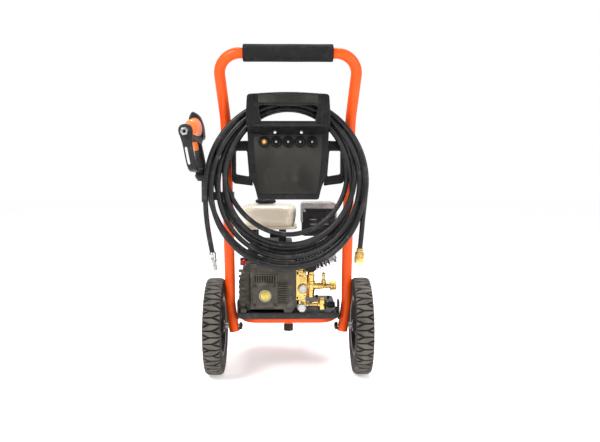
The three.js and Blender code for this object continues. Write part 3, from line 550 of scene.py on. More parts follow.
# ---------------------------------------------------------------- the hose
# Centre x and z, then the half-width and half-height, of the coil's rims.
COIL_OUTER = (-3, 603, 248, 256)
COIL_INNER = (0, 641, 166, 178)
COIL_DEPTH = (-688, -650)
TAIL_Y = -682
LEFT_TAIL = [
    (-246, TAIL_Y, 560), (-243, TAIL_Y, 510), (-237, TAIL_Y, 459), (-229.6, TAIL_Y, 424), (-226, TAIL_Y, 404),
]
RIGHT_TAIL = [
    (224, TAIL_Y, 530), (219, TAIL_Y, 490), (219, TAIL_Y, 459), (215, TAIL_Y, 432), (213.5, TAIL_Y, 415),
]
# Where each pass lies between the inner rim (0) and the outer rim (1), and how deep from the front (0 to 1).
BOTTOM_PASSES = [(1.0, 0.0), (0.72, 0.5), (0.32, 0.3), (0.58, 1.0), (0.0, 0.5), (0.45, 0.9), (0.90, 0.5)]
TOP_PASSES = [(1.0, 0.0), (0.5, 0.0), (0.3, 0.5), (0.0, 0.1), (0.0, 1.0), (0.5, 1.0), (0.8, 0.5), (1.0, 1.0)]
START_ANGLE = 172
END_ANGLE = -8
HOSE_STEP = 13.0
SMOOTHINGS = 12
TAIL_STEPS = 14
SETTLING_ROUNDS = 170
SETTLING_PUSH = 0.25
HOSE_STIFFNESS = 0.24
HOSE_CLEARANCE = 0.2
OUTER_SLACK = 3
NEIGHBOURS = 4


def coil_rims(margin):
    """The coil's inner and outer rim, each drawn a margin into the coil."""
    return [(x, z, a + m, b + m) for (x, z, a, b), m in ((COIL_INNER, margin), (COIL_OUTER, -margin))]


def coil_point(angle, place, depth):
    c, s = math.cos(angle), math.sin(angle)
    (xi, zi, ai, bi), (xo, zo, ao, bo) = coil_rims(HOSE_DIAMETER / 2)
    x = (xi + ai * c) * (1 - place) + (xo + ao * c) * place
    z = (zi + bi * s) * (1 - place) + (zo + bo * s) * place
    return (x, COIL_DEPTH[0] + depth * (COIL_DEPTH[1] - COIL_DEPTH[0]), z)


def pass_value(passes, turn, first_pass):
    """A pass's place and depth, eased from one pass to the next over a whole turn."""
    along = min(max(turn - first_pass, 0.0), len(passes) - 1.001)
    i = int(along)
    t = along - i
    ease = t * t * (3 - 2 * t)
    return [a * (1 - ease) + b * ease for a, b in zip(passes[i], passes[i + 1])]


def coil_route():
    turns = len(BOTTOM_PASSES) + (START_ANGLE - END_ANGLE) / 360
    steps = int(turns * 96)
    first_top = (START_ANGLE - 90) / 360
    first_bottom = (START_ANGLE + 90) / 360
    route = []
    for k in range(steps + 1):
        turn = turns * k / steps
        angle = math.radians(START_ANGLE - 360 * turn)
        height = (1 + math.sin(angle)) / 2
        weight = height * height * (3 - 2 * height)
        at_top = pass_value(TOP_PASSES, turn, first_top)
        at_bottom = pass_value(BOTTOM_PASSES, turn, first_bottom)
        place, depth = [t * weight + b * (1 - weight) for t, b in zip(at_top, at_bottom)]
        route.append(coil_point(angle, place, depth))
    return route


def evenly(points, spacing):
    line = np.array(points, float)
    lengths = np.concatenate([[0], np.cumsum(np.linalg.norm(np.diff(line, axis=0), axis=1))])
    marks = np.linspace(0, lengths[-1], int(lengths[-1] / spacing) + 1)
    return np.stack([np.interp(marks, lengths, line[:, axis]) for axis in range(3)], axis=1)


def reach(line, rim):
    """How far each point is from a rim's centre, as a share of the rim's own size."""
    x, z, a, b = rim
    return np.hypot((line[:, 0] - x) / a, (line[:, 2] - z) / b)


def scale_from(line, rim, factors):
    for axis, centre in ((0, rim[0]), (2, rim[1])):
        line[:, axis] = centre + (line[:, axis] - centre) * factors


def settle_hose(line, loose):
    """Pushes the passes apart until they lie beside each other, keeping each smooth and inside the hank."""
    spacing = HOSE_DIAMETER + HOSE_CLEARANCE
    order = np.arange(len(line))
    far_along = np.abs(order[:, None] - order[None, :]) > NEIGHBOURS
    inner = coil_rims(HOSE_DIAMETER / 2)[0]
    outer = coil_rims(HOSE_DIAMETER / 2 - OUTER_SLACK)[1]
    drawn = line.copy()
    for _ in range(SETTLING_ROUNDS):
        gaps = line[:, None, :] - line[None, :, :]
        distance = np.maximum(np.linalg.norm(gaps, axis=2), 1e-6)
        push = np.where((distance < spacing) & far_along, (spacing - distance) / distance, 0.0)
        shift = SETTLING_PUSH * (gaps * push[..., None]).sum(axis=1)
        off = line - drawn
        bend = np.zeros_like(line)
        bend[1:-1] = HOSE_STIFFNESS * (off[:-2] + off[2:] - 2 * off[1:-1])
        line = line + (shift + bend) * loose[:, None]
        inner_reach = reach(line, inner)
        outer_reach = reach(line, outer)
        scale_from(line, inner, np.where(loose * (inner_reach < 1) > 0, 1 / inner_reach, 1.0))
        scale_from(line, outer, np.where(loose * (outer_reach > 1) > 0, 1 / outer_reach, 1.0))
        line[:, 1] = np.clip(line[:, 1], *COIL_DEPTH)
    return line


def fitting_matrix(route):
    """Places a fitting, drawn pointing down from the origin, on the end of a tail."""
    end, before = Vector(route[-1]), Vector(route[-2])
    lead = (end - before).normalized()
    return Matrix.Translation(end) @ Vector((0, 0, -1)).rotation_difference(lead).to_matrix().to_4x4()


def add_hose():
    line = evenly([*reversed(LEFT_TAIL), *coil_route(), *RIGHT_TAIL], HOSE_STEP)
    for _ in range(SMOOTHINGS):
        line[1:-1] += 0.25 * (line[:-2] + line[2:] - 2 * line[1:-1])
    order = np.arange(len(line))
    loose = np.clip(np.minimum(order, len(line) - 1 - order) / TAIL_STEPS - 1.0, 0.0, 1.0)
    line = settle_hose(line, loose)
    curve = bpy.data.curves.new("high_pressure_hose", "CURVE")
    curve.dimensions = "3D"
    curve.bevel_depth = HOSE_DIAMETER / 2 * MM
    curve.bevel_resolution = 6
    curve.use_fill_caps = True
    spline = curve.splines.new("POLY")
    spline.points.add(len(line) - 1)
    for point, place in zip(spline.points, line):
        point.co = (*(place * MM), 1)
    curve.materials.append(MATERIALS["hose"])
    hose = new_object("high_pressure_hose", curve)
    assign(hose, "trolley", ["hose_coil", "hose_tail_left", "hose_tail_right"])

    plug = combined(
        lathe("z", [(0, -0.3), (8.6, -0.3), (9.6, -1.5), (10, -3), (10, -12), (9.2, -14), (8, -15), (8, -16),
                    (8.5, -17), (8.5, -22), (0, -22)]),
        hexagon("z", 14.6, -21.5, -29.5),
        lathe("z", [(0, -29), (6, -29), (6, -36), (5.2, -37), (5.2, -39), (6, -40), (6, -46), (5.2, -47),
                    (5.2, -49), (6, -50), (6, -53), (4.5, -56), (2.4, -56), (2.4, -50), (0, -50)]),
    )
    steel = piece("hose_plug", moved(plug, fitting_matrix(LEFT_TAIL)), "zinc", ["hose_plug_steel"])
    grips = knurl("z", 0.9, -15, -38, (0, 0, 0), 13.2, 22)
    coupler = combined(lathe("z", [(0, -0.3), (9.2, -0.3), (10, -1.2), (10, -4), (9.2, -5), (10, -6),
        (10, -12.5), (0, -12.5)]), lathe("z", [(9, -12), (13, -12), (13.2, -14), (13.2, -24), (12.2, -25.2),
        (12.2, -27), (13.2, -28.2), (13.2, -40), (12, -44.5), (7, -44.5), (6.4, -43), (6.4, -30), (9, -28)]),
        *grips)
    brass = piece("hose_coupler", moved(coupler, fitting_matrix(RIGHT_TAIL)), "brass", ["hose_coupler_brass"])


# ---------------------------------------------------------------- trolley frame
AXLE_Y = -560
HANDLE_TOP = (-720, 980)


def add_handle():
    top_y, top_z = HANDLE_TOP
    half_leg = [
        (-172, AXLE_Y, 136), (-185, AXLE_Y, 232), (-185, AXLE_Y, 300),
        (-188, AXLE_Y - 62, 794), (-203, top_y, top_z),
    ]
    bends = [100, 200, 150, 62]
    route = bent_path([*half_leg, *mirrored(half_leg)], [*bends, *reversed(bends)])
    piece("handle_tube", sweep(route, TUBE_RADIUS, 36), "orange", ["handle_frame"])

    low, high = node_box("handle_grip")
    centre = (0, top_y, top_z)
    outer, bore = 25, TUBE_RADIUS + 0.6
    sleeve = lathe("x", [
        (bore, low.x + 1), (outer - 4, low.x), (outer - 1.2, low.x + 1), (outer, low.x + 3.5),
        (outer - 0.3, -60), (outer, 10), (outer - 0.3, 80), (outer, high.x - 3.5), (outer - 1.2, high.x - 1),
        (outer - 4, high.x), (bore, high.x - 1),
    ], centre, 56)
    piece("grip_sleeve", sleeve, "foam", ["handle_grip"])


def add_base():
    base_z = 182
    half_loop = [
        (1, 0, base_z), (-80, 0, base_z), (-80, -330, base_z), (-139, -480, base_z), (-139, -580, base_z),
        (1, -580, base_z),
    ]
    bends = [44, 80, 80, 44]
    loop = [*bent_path(half_loop, bends), *bent_path(mirrored(half_loop), list(reversed(bends)))]
    foot_leg = rod("z", 13, 8, base_z - 4, sides=32)
    weld = lathe("z", [(0, -20), (15.2, -19.5), (14.4, -16), (13, -13), (0, -12)], start=base_z)
    tubes = combined(sweep(loop, TUBE_RADIUS, 32), foot_leg, weld)
    piece("base_tube", tubes, "orange", ["base_frame"])

    grooves = [corner for k in range(3) for corner in [(17.2 - 4 * k, 0.0), (16.4 - 4 * k, 1.4),
        (14.8 - 4 * k, 1.4), (14.0 - 4 * k, 0.0)]]
    foot = lathe("z", [(0, 0), *reversed(grooves), (18.6, 0.8), (19, 2), (19, 8), (18.2, 9), (19, 10),
                       (19, 23), (18, 25.6), (16.5, 27), (13.3, 27), (13.3, 7.7), (0, 7.7)], sides=40)
    piece("rubber_foot", foot, "black_rubber", ["front_foot"])


def bolt(axis, size, start, end, centre):
    """Hexagon head on a washer, from the washer's face at start to the head's top at end."""
    step = (end - start) / abs(end - start)
    return combined(
        rod(axis, size * 1.1, start, start + step * 1.2, centre, 28, 0.3),
        hexagon(axis, size * 1.7, start + step, end, centre),
    )


def add_deck():
    deck = from_node("deck_tray")
    low, high = node_box("deck_tray")
    bolts = [bolt("z", 5, high.z, high.z + 5.5, (x, y, 0)) for x, y in (
        (140, -585), (-140, -440), (140, -350), (100, -330), (140, -460), (-148, low.y + 14))]
    piece("deck_plate", combined(deck, *bolts), "black_steel", ["deck_tray"], soften=0.9)
    for word, side in (("left", -1), ("right", 1)):
        low, high = node_box(f"frame_bracket_{word}")
        inner = low.x if side > 0 else high.x
        screws = [bolt("x", 5, inner, inner - side * 5.9, (0, y, 206)) for y in (-578, -545)]
        bracket = combined(from_node(f"frame_bracket_{word}"), *screws)
        piece(f"bracket_{word}", bracket, "black_steel", [f"frame_bracket_{word}"], soften=0.9)


# ---------------------------------------------------------------- wheels
WHEEL_RADIUS = 152.5
TREAD_HALF_WIDTH = 26
TREAD_PERIODS = 24
GROOVE_DEPTH = 5.5
TREAD_CROWN = 1.2
SHOULDER_DROP = 4.5
WHEEL_X = 231
BLOCK_ROOT = 1.5


def tread_radius(v):
    """Radius at v, which runs from -1 at one edge of the tread to 1 at the other."""
    return WHEEL_RADIUS - TREAD_CROWN * abs(v) ** 2 - SHOULDER_DROP * abs(v) ** 8


def tread_block(centre, start, low, high, stations):
    """One raised block, between the lines low(v) and high(v), which are lengths along the tread in mm."""
    tops, bottoms = [], []
    for v in stations:
        row_top, row_bottom = [], []
        for share in (0.0, 0.5, 1.0):
            along = low(v) * (1 - share) + high(v) * share
            angle = start + along / WHEEL_RADIUS
            top = tread_radius(v)
            for row, radius in ((row_top, top), (row_bottom, top - GROOVE_DEPTH - BLOCK_ROOT)):
                row.append(on_axis("x", centre, radius * math.cos(angle), radius * math.sin(angle),
                                   centre[0] + v * TREAD_HALF_WIDTH))
        tops.append(row_top)
        bottoms.append(row_bottom)
    loops = [upper + list(reversed(lower)) for upper, lower in zip(tops, bottoms)]
    return loft(loops)


def tread(centre):
    """Wavy blocks between grooves that fork towards the shoulders, left and right in turn."""
    period = 2 * math.pi * WHEEL_RADIUS / TREAD_PERIODS
    arm, half_groove, apex = period * 0.28, 2.7, -0.14
    steps = [-1 + k / 5 for k in range(11)]
    nub_steps = [-1, -0.8, -0.6, -0.45]

    def fork(v):
        """How far a left fork's arm is from its own centre line at v."""
        return arm * max(0.0, (apex - v) / (apex + 1))

    def land_low(v):
        return fork(v) + half_groove

    def land_high(v):
        return period / 2 - fork(-v) - half_groove

    def nub(v):
        """Half the length of the small block inside a fork."""
        return max(0.6, fork(v) - 2 * half_groove)

    blocks = []
    for k in range(TREAD_PERIODS):
        for half_turn, flip in ((0, 1), (1, -1)):
            start = (2 * k + half_turn) * math.pi / TREAD_PERIODS
            blocks.append(tread_block(
                centre, start, lambda v: land_low(flip * v), lambda v: land_high(flip * v), steps))
            blocks.append(tread_block(centre, start, lambda v: -nub(flip * v), lambda v: nub(flip * v),
                sorted(flip * v for v in nub_steps)))
    return combined(*blocks)


def add_wheel(word, side):
    centre = Vector((side * WHEEL_X, AXLE_Y, WHEEL_RADIUS))
    body = f"wheel_{word}"

    def along(profile):
        return [(radius, centre.x + side * offset) for radius, offset in profile]

    floor = WHEEL_RADIUS - GROOVE_DEPTH
    half = [(95, -23), (100, -25.5), (112, -26.6), (118, -26.9), (120, -26.2), (122, -26.9), (136, -26.9),
            (141, -26.2), (floor - 3, -24.5), (floor, -19)]
    far_half = [(radius, -offset) for radius, offset in reversed(half)]
    carcass = lathe("x", along([*half, (floor, 0), *far_half]), centre, 96)
    piece(f"tyre_carcass_{word}", carcass, "shaded_groove_rubber", body=body)
    piece(f"tyre_tread_{word}", tread(centre), "tyre", [f"tyre_{word}"], body=body, soften=0.7)

    rim_face = lathe("x", along([(6.4, -26.8), (18, -26.8), (20, -25), (20, -9), (24, -6.5), (72, -5.5),
        (78, -7.5), (81, -20), (84, -23.5), (93, -24.5), (94.6, -24), (94.6, 24), (93, 24.5), (84, 23.5),
        (81, 20), (78, 7.5), (72, 5.5), (24, 6.5), (20, 9), (20, 18.5), (18, 20), (6.4, 20)]), centre, 72)
    ribs = []
    for k in range(10):
        turn = Matrix.Translation(centre) @ Matrix.Rotation(2 * math.pi * k / 10, 4, "X")
        for offset in (-1, 1):
            rib = plate("side", [rounded([(19, -3, 1), (79, -2, 1), (79, 2, 1), (19, 3, 1)])],
                        min(offset * 4, offset * 15), max(offset * 4, offset * 15), 0.7)
            ribs.append(moved(rib, turn))
    piece(f"rim_disc_{word}", combined(rim_face, *ribs), "wheel", [f"rim_{word}"], body=body)

    axle = lathe("x", along([(0, 26.3), (6, 26.3), (9, 25.6), (10.6, 24), (11, 22.6), (11, 20.4), (6, 20.4),
        (6, -27.3), (9.4, -27.3), (10, -28), (10, -37.4), (9.4, -38), (6, -38), (6, -84.8), (5, -86),
        (0, -86)]), centre, 40)
    piece(f"axle_bolt_{word}", axle, "zinc", [f"axle_{word}"])
    nut_start, nut_end = centre.x - side * 75, centre.x - side * 84
    nut = combined(lathe("x", [(6.4, nut_start), (13, nut_start), (13, nut_start - side * 1.6),
        (6.4, nut_start - side * 1.6)], centre, 36), lathe("x",
        [(6.4, nut_start - side), (11.2, nut_start - side), (12.1, nut_start - side * 2),
        (12.1, nut_end + side), (11.2, nut_end), (6.4, nut_end)], centre, 6))
    piece(f"axle_lock_nut_{word}", nut, "black_steel", [f"axle_nut_{word}"])


# ---------------------------------------------------------------- control panel
NOZZLES = [f"nozzle_{i}" for i in range(1, 6)]
PANEL_FRONT = -680
HOOK_FRONT = -725
SADDLE_Z = 783
OPENING = [(-78, 785, 8), (78, 785, 8), (85, 832, 10), (-85, 832, 10)]


def carve(shape, cutters):
    """Cuts other shapes out of a shape."""
    body, cutter = [new_object(name, clean_mesh(name, points, faces, 1e-3))
                    for name, (points, faces) in (("body", shape), ("cutter", combined(*cutters)))]
    boolean = body.modifiers.new("cut", "BOOLEAN")
    boolean.operation = "DIFFERENCE"
    boolean.solver = "EXACT"
    boolean.use_self = True
    boolean.object = cutter
    result = baked(body)
    carved = [v.co.copy() for v in result.vertices], [tuple(p.vertices) for p in result.polygons]
    bpy.data.meshes.remove(result)
    for holder in (body, cutter):
        mesh = holder.data
        bpy.data.objects.remove(holder)
        bpy.data.meshes.remove(mesh)
    return carved


def symmetric(right_edge):
    """Outline from its right edge, listed from the bottom up."""
    return rounded([*right_edge, *reversed([(-x, z, r) for x, z, r in right_edge])])


def add_panel():
    lower = symmetric([(90, 560, 6), (99, 598, 12), (112, 626, 12), (118, 700, 10), (119, 758, 8)])
    field = symmetric([(86, 577, 6), (90, 590, 6), (100, 690, 8), (102, 746, 5)])
    nozzle_z = middle(NOZZLES[0]).z
    nozzle_xs = [middle(name).x for name in NOZZLES]
    shell = plate("front", [lower], PANEL_FRONT + 2.4, -638, 3.0, 4)
    border = plate("front", [lower, field], PANEL_FRONT, PANEL_FRONT + 4, 1.3, 3)
    saddle_side = rounded([(-640, 736), (-676, 736), (PANEL_FRONT + 0.6, 751, 6), (HOOK_FRONT + 1, 774, 8),
        (HOOK_FRONT + 1, 786, 4), (-697, 787, 3), (-690, SADDLE_Z, 2), (-640, SADDLE_Z, 6)])
    saddle = plate("side", [saddle_side], -84, 84, 2.0, 3)
    hook_side = rounded([(-660, 738), (-676, 738), (PANEL_FRONT + 0.6, 751, 6), (HOOK_FRONT + 0.6, 774, 8),
                         (HOOK_FRONT + 0.6, 788, 3), (-697, 788, 3), (-697, 762, 6), (-660, 752)])
    hook = plate("side", [hook_side], -119.5, 119.5, 3.0, 4)
    shelf = plate("front", [symmetric([(119, 735, 2), (119, 756, 2), (84, 780, 2)])], -676, -640, 2.0, 2)

    bar_outline = symmetric([(99.4, 777, 2), (99.4, 832, 4), (99.4, 866, 2), (62, 868.5, 14),
        (24, 870.5, 14)])
    bar = plate("front", [bar_outline, rounded(OPENING)], HOOK_FRONT, -697, 4.0, 4)
    inset = symmetric([(90, 841, 4), (93, 860, 4), (26, 862, 3)])
    bar_ridge = plate("front", [symmetric([(94, 837, 4), (95, 863, 4), (28, 865, 3)]), inset],
                      HOOK_FRONT - 0.9, HOOK_FRONT + 2, 0.7, 2)
    posts = []
    for side in (-1, 1):
        post = rounded([(side * x, z, r) for x, z, r in (
            (98.6, 772, 2), (119.5, 770, 6), (122, 800, 2), (118, 864, 12), (98.6, 866, 3))])
        posts.append(plate("front", [post], HOOK_FRONT - 0.2, -697, 2.2, 4))
        posts.append(rod("y", 3.6, HOOK_FRONT - 1.4, HOOK_FRONT + 3, (side * 109, 0, 845), 20, 0.8))
    bosses = [plate("front", [circle(x, nozzle_z, 17, 40, 15)], PANEL_FRONT + 0.2, PANEL_FRONT + 4, 1.0, 2)
        for x in nozzle_xs]
    dowels = [rod("y", 4.5, HOOK_FRONT - 40, -600, (x, 0, 758), 28) for x in (-39, 39)]
    pocket = plate("front", [symmetric([(82, 568, 8), (104, 632, 8), (110, 700, 8), (110, 740, 6)])], -674,
        -600, 1.0)
    wells = [rod("y", 14.4, PANEL_FRONT - 20, PANEL_FRONT + 4.6, (x, 0, nozzle_z), 40) for x in nozzle_xs]
    bores = [rod("y", 6.6, PANEL_FRONT - 20, -640, (x, 0, nozzle_z), 24) for x in nozzle_xs]
    moulding = carve(combined(shell, border, saddle, hook, shelf, *bosses), [*dowels, pocket])
    moulding = carve(moulding, [*wells, *bores])

    ribs = [block(x - 1.2, x + 1.2, -674, -640, 575, 738) for x in (-60, -20, 20, 60)]
    cross = [block(-98, 98, -672, -642, z - 1.2, z + 1.2) for z in (620, 680)]
    shape = combined(moulding, bar, bar_ridge, *posts, *ribs, *cross)
    piece("panel_moulding", shape, "plastic", ["control_panel"])

    face = plate("front", [field], PANEL_FRONT + 1.9, PANEL_FRONT + 2.6, 0.2, 1)
    face = carve(face, [rod("y", 17.4, PANEL_FRONT - 9, PANEL_FRONT + 9, (x, 0, nozzle_z), 40)
        for x in nozzle_xs])
    piece("panel_face", face, "panel_face")

    # The grip bar's front face is a lighter strip between the two posts: painted sheen on the bar.
    band = symmetric([(86, 840, 3), (86, 862, 4), (24, 866, 6)])
    bar_face = plate("front", [band], HOOK_FRONT - 1.2, HOOK_FRONT + 1.5, 0.6, 2)
    piece("panel_bar_sheen_strip", bar_face, "panel_face")

    wings = []
    for side in (-1, 1):
        edge = [(108, 600, 2), (163, 607, 6), (170, 616, 6), (170, 724, 6), (163, 734, 6), (112, 736, 2)]
        window = [(124, 705, 5), (158, 705, 5), (158, 635, 5), (118, 628, 5)]
        outlines = [rounded([(side * x, z, r) for x, z, r in line]) for line in (edge, window)]
        wings.append(plate("front", outlines, -640, -612, 3.0, 4))
        for z in (620, 720):
            wings.append(rod("y", 5.5, -642.5, -634, (side * 164, 0, z), 24, 1.0))
            wings.append(rod("y", 3.0, -643.2, -638, (side * 164, 0, z), 6, 0.5))
    piece("panel_wings", combined(*wings), "plastic")


def add_nozzles():
    near = PANEL_FRONT - 0.3
    for i, name in enumerate(NOZZLES):
        centre = (middle(name).x, 0, middle(name).z)
        collar = lathe("y", [(0, 27), (5.6, 26.5), (6, 25), (6, 2), (12.4, 2), (13, 1), (13, -5.5),
            (12.2, -7.5), (10.4, -8.6), (9.2, -7.6), (8.6, -2), (6.2, -1.5), (0, -1.5)], centre, 48,
            start=near)
        grips = knurl("y", 1.1, near - 6.6, near + 1, centre, 12.9, 16, 8, 0.4)
        colour = "amber" if i == 0 else "plastic"
        piece(f"{name}_collar", combined(collar, *grips), "plastic", [name], body=name)
        cap = lathe("y", [(0, -3), (7.6, -3), (7.6, -4.4), (6.6, -5.4), (4.4, -5.4), (4.4, -2), (0, -2)],
            centre, 36, start=near)
        piece(f"{name}_insert", cap, colour, body=name)
        # The first nozzle's nipple is cream: a painted glow of light showing through its orifice.
        nipple = lathe("y", [(0, -2.2), (3.4, -2.2), (3.4, -9.8), (3.0, -11.4), (1.8, -11.6), (1.3, -10.8),
            (1.3, -4), (0, -4)], centre, 32, start=near)
        piece(f"{name}_nipple", nipple, "cream" if i == 0 else "alloy", body=name)


# ---------------------------------------------------------------- pump
def screw_head(axis, radius, face, height, centre):
    """Socket screw: round head with a hexagon recess, standing out of a face."""
    out = face + height
    step = 1 if height > 0 else -1
    return lathe(axis, [
        (0, face), (radius, face), (radius, out - step * 0.8), (radius - 0.8, out), (radius * 0.5, out),
        (radius * 0.42, out - step * radius * 0.6), (0, out - step * radius * 0.6),
    ], centre, 24)


def add_crankcase():
    low, _ = node_box("pump_crankcase")
    near, left = low.y, low.x
    case = from_node("pump_crankcase")
    details = []
    for k in range(7):
        z = 226 + 17 * k
        details.append(block(left - 1.5, left + 14, near + 21, near + 36, z, z + 7, 1.2))
        details.append(block(-147, -134, near - 3, near + 2, z, z + 8, 1.4))
    for x in (-140, -2):
        details.append(block(x - 9, x + 9, near - 1.5, near + 30, low.z + 0.3, low.z + 13, 1.6))
        details.append(bolt("z", 6, low.z + 13, low.z + 20, (x, near + 12, 0)))
    for x in (-128, -104, -25, 8):
        details.append(screw_head("y", 4.2, near + 0.6, -5, (x, 0, 338)))
    details.append(block(-126, 10, near - 1.2, near + 4, 328.5, 331.5, 1.0))
    upright = [box_outline(x - 1.9, x + 1.9, 301, 320, 1.2) for x in (-103 + 7.6 * k for k in range(9))]
    level = [box_outline(-32, -6, z - 1.5, z + 1.5, 1.0) for z in (237 + 7.1 * k for k in range(9))]
    details.append(plate("front", [box_outline(-110, -35, 297, 324, 2), *upright], near - 1.6, near - 0.3,
        0.5))
    details.append(plate("front", [box_outline(-36, -2, 232, 299, 2), *level], near - 1.6, near - 0.3, 0.5))
    for k in range(5):
        y = near + 14 + 26 * k
        details.append(block(-132, 8, y, y + 5, 352, 358.5, 1.4))
    details.append(lathe("z", [(0, 352), (12, 352), (12, 357), (9, 359), (9, 365), (10.5, 366), (10.5, 372),
        (8, 374), (0, 374)], (-72, -520, 0), 32))
    piece("pump_case", combined(case, *details), "pump_grey", ["pump_crankcase"], soften=0.9)

    # Black plates behind the louvre slots: painted shade inside the case.
    backs = [block(-107, -38, near - 0.5, near + 0.4, 299, 322, 0.2), block(-34, -4, near - 0.5, near + 0.4,
        234, 297, 0.2)]
    piece("pump_louvre_backs", combined(*backs), "painted_shade")

    c_low, c_high = node_box("pump_rear_cover")
    glass = middle("oil_sight_glass")
    face = c_high.y
    outline = box_outline(c_low.x, c_high.x, c_low.z, c_high.z, 9)
    glass_hole = circle(glass.x, glass.z, 17, 48)
    wide = circle(glass.x, glass.z, 21, 48)
    cover = plate("front", [outline, glass_hole], face - 6.5, face, 1.6, 3)
    rim = plate("front", [wide, glass_hole], face - 9.6, face - 3, 1.2, 3)
    step = plate("front", [box_outline(c_low.x + 12, c_high.x - 12, c_low.z + 10, c_high.z - 10, 12),
        glass_hole], face - 8, face - 3, 1.4, 3)
    corners = [(x, z) for x in (c_low.x + 8, c_high.x - 8) for z in (c_low.z + 9, c_high.z - 9)]
    posts = [rod("y", 6.4, face - 8, face - 1, (x, 0, z), 28, 1.0) for x, z in corners]
    piece("pump_cover", combined(cover, rim, step, *posts), "pump_grey", ["pump_rear_cover"])
    screws = [screw_head("y", 3.6, face - 7.6, -3.6, (x, 0, z)) for x, z in corners]
    piece("pump_cover_screws", combined(*screws), "black_steel")

    centre = (glass.x, 0, glass.z)
    bezel = lathe("y", [(16.6, -1.2), (16.6, -9.8), (19.2, -9.9), (19.4, -11), (18.2, -12.2), (15.6, -12.4),
        (14.2, -10.6), (14.2, -1.2)], centre, 56, start=face)
    piece("sight_glass_bezel", bezel, "sight_rim")
    dome = lathe("y", [(0, -2), (14.1, -2), (14.1, -10), (10, -11.6), (4, -12.4), (0, -12.4)], centre, 56,
        start=face)
    notch = knurl("y", 1.6, face - 12.4, face - 9, centre, 6, 3, 12, 0.4, math.pi / 6)
    piece("sight_glass_window", combined(dome, *notch), "sight_glass", ["oil_sight_glass"])


def add_pump_head():
    low, high = node_box("pump_head")
    bosses = []
    plungers = [middle(f"plunger_{i}") for i in (1, 2, 3)]
    for place in plungers:
        bosses.append(hexagon("z", 21, 330, high.z, (40, place.y, 0)))
        bosses.append(rod("z", 13.4, 324, 332, (40, place.y, 0), 40, 1.2))
        bosses.append(hexagon("x", 22, high.x - 5, high.x + 5, (0, place.y, place.z)))
        bosses.append(rod("z", 12, 236, 246, (42, place.y, 0), 36, 1.0))
    main = plate("front", [rounded([(low.x, 243, 3), (48, 243, 8), (56, 252, 8), (58, 270, 6), (58, 318, 8),
        (49, 333, 8), (low.x, 333, 3)])], low.y + 6, high.y, 2.2, 4)
    rail = lathe("y", [(0, low.y + 1), (12, low.y + 1), (13, low.y + 3), (15, low.y + 4), (15, high.y - 2),
        (13, high.y), (0, high.y)], (42, 0, 221), 44)
    neck = plate("front", [rounded([(30, 222), (54, 222), (52, 246, 4), (33, 246, 4)])], low.y + 8,
        high.y - 2, 1.5)
    port = lathe("y", [(0, 9), (16.5, 9), (16.5, 4), (15, 2.4), (14, 0), (0, 0)], (45, 0, 279), 44,
        start=low.y)
    flanges = [block(low.x, low.x + 9, low.y + 6, high.y, z - 6, z + 6, 1.5) for z in (248, 328)]
    webs = [plate("front", [rounded(line)], low.y + 3.6, low.y + 9, 1.2) for line in (
        [(26, 320, 2), (54, 306, 2), (56, 311, 2), (30, 326, 2)],
        [(26, 247, 2), (31, 243, 2), (55, 255, 2), (53, 259, 2)],
        [(33, 300, 2), (38, 300, 2), (38, 331, 2), (33, 331, 2)],
        [(47, 298, 2), (51, 298, 2), (51, 329, 2), (47, 329, 2)],
    )]
    piece("brass_head", combined(main, rail, neck, port, *bosses, *flanges, *webs), "brass", ["pump_head"])
    studs = [bolt("x", 5.5, low.x + 8.6, low.x + 15, (0, y, z)) for y in (-588, -556, -524, -492)
        for z in (248, 328)]
    piece("head_bolts", combined(*studs), "zinc")

    for name, centre in (("head_cap", (45, 0, 279)), ("inlet_cap", (42, 0, 221))):
        c_low, c_high = node_box(name)
        size = 22.6 if name == "head_cap" else 23.6
        parts = [hexagon("y", size, c_low.y, c_high.y - 1, centre)]
        parts.append(rod("y", size / 2 + (1.5 if name == "head_cap" else 3), c_high.y - 5, c_high.y, centre,
            44, 0.8))
        parts.append(lathe("y", [(0, -0.2), (7, -0.2), (7.6, 0.8), (0, 0.8)], centre, 32, start=c_low.y))
        piece(f"{name}_nut", combined(*parts), "zinc", [name])


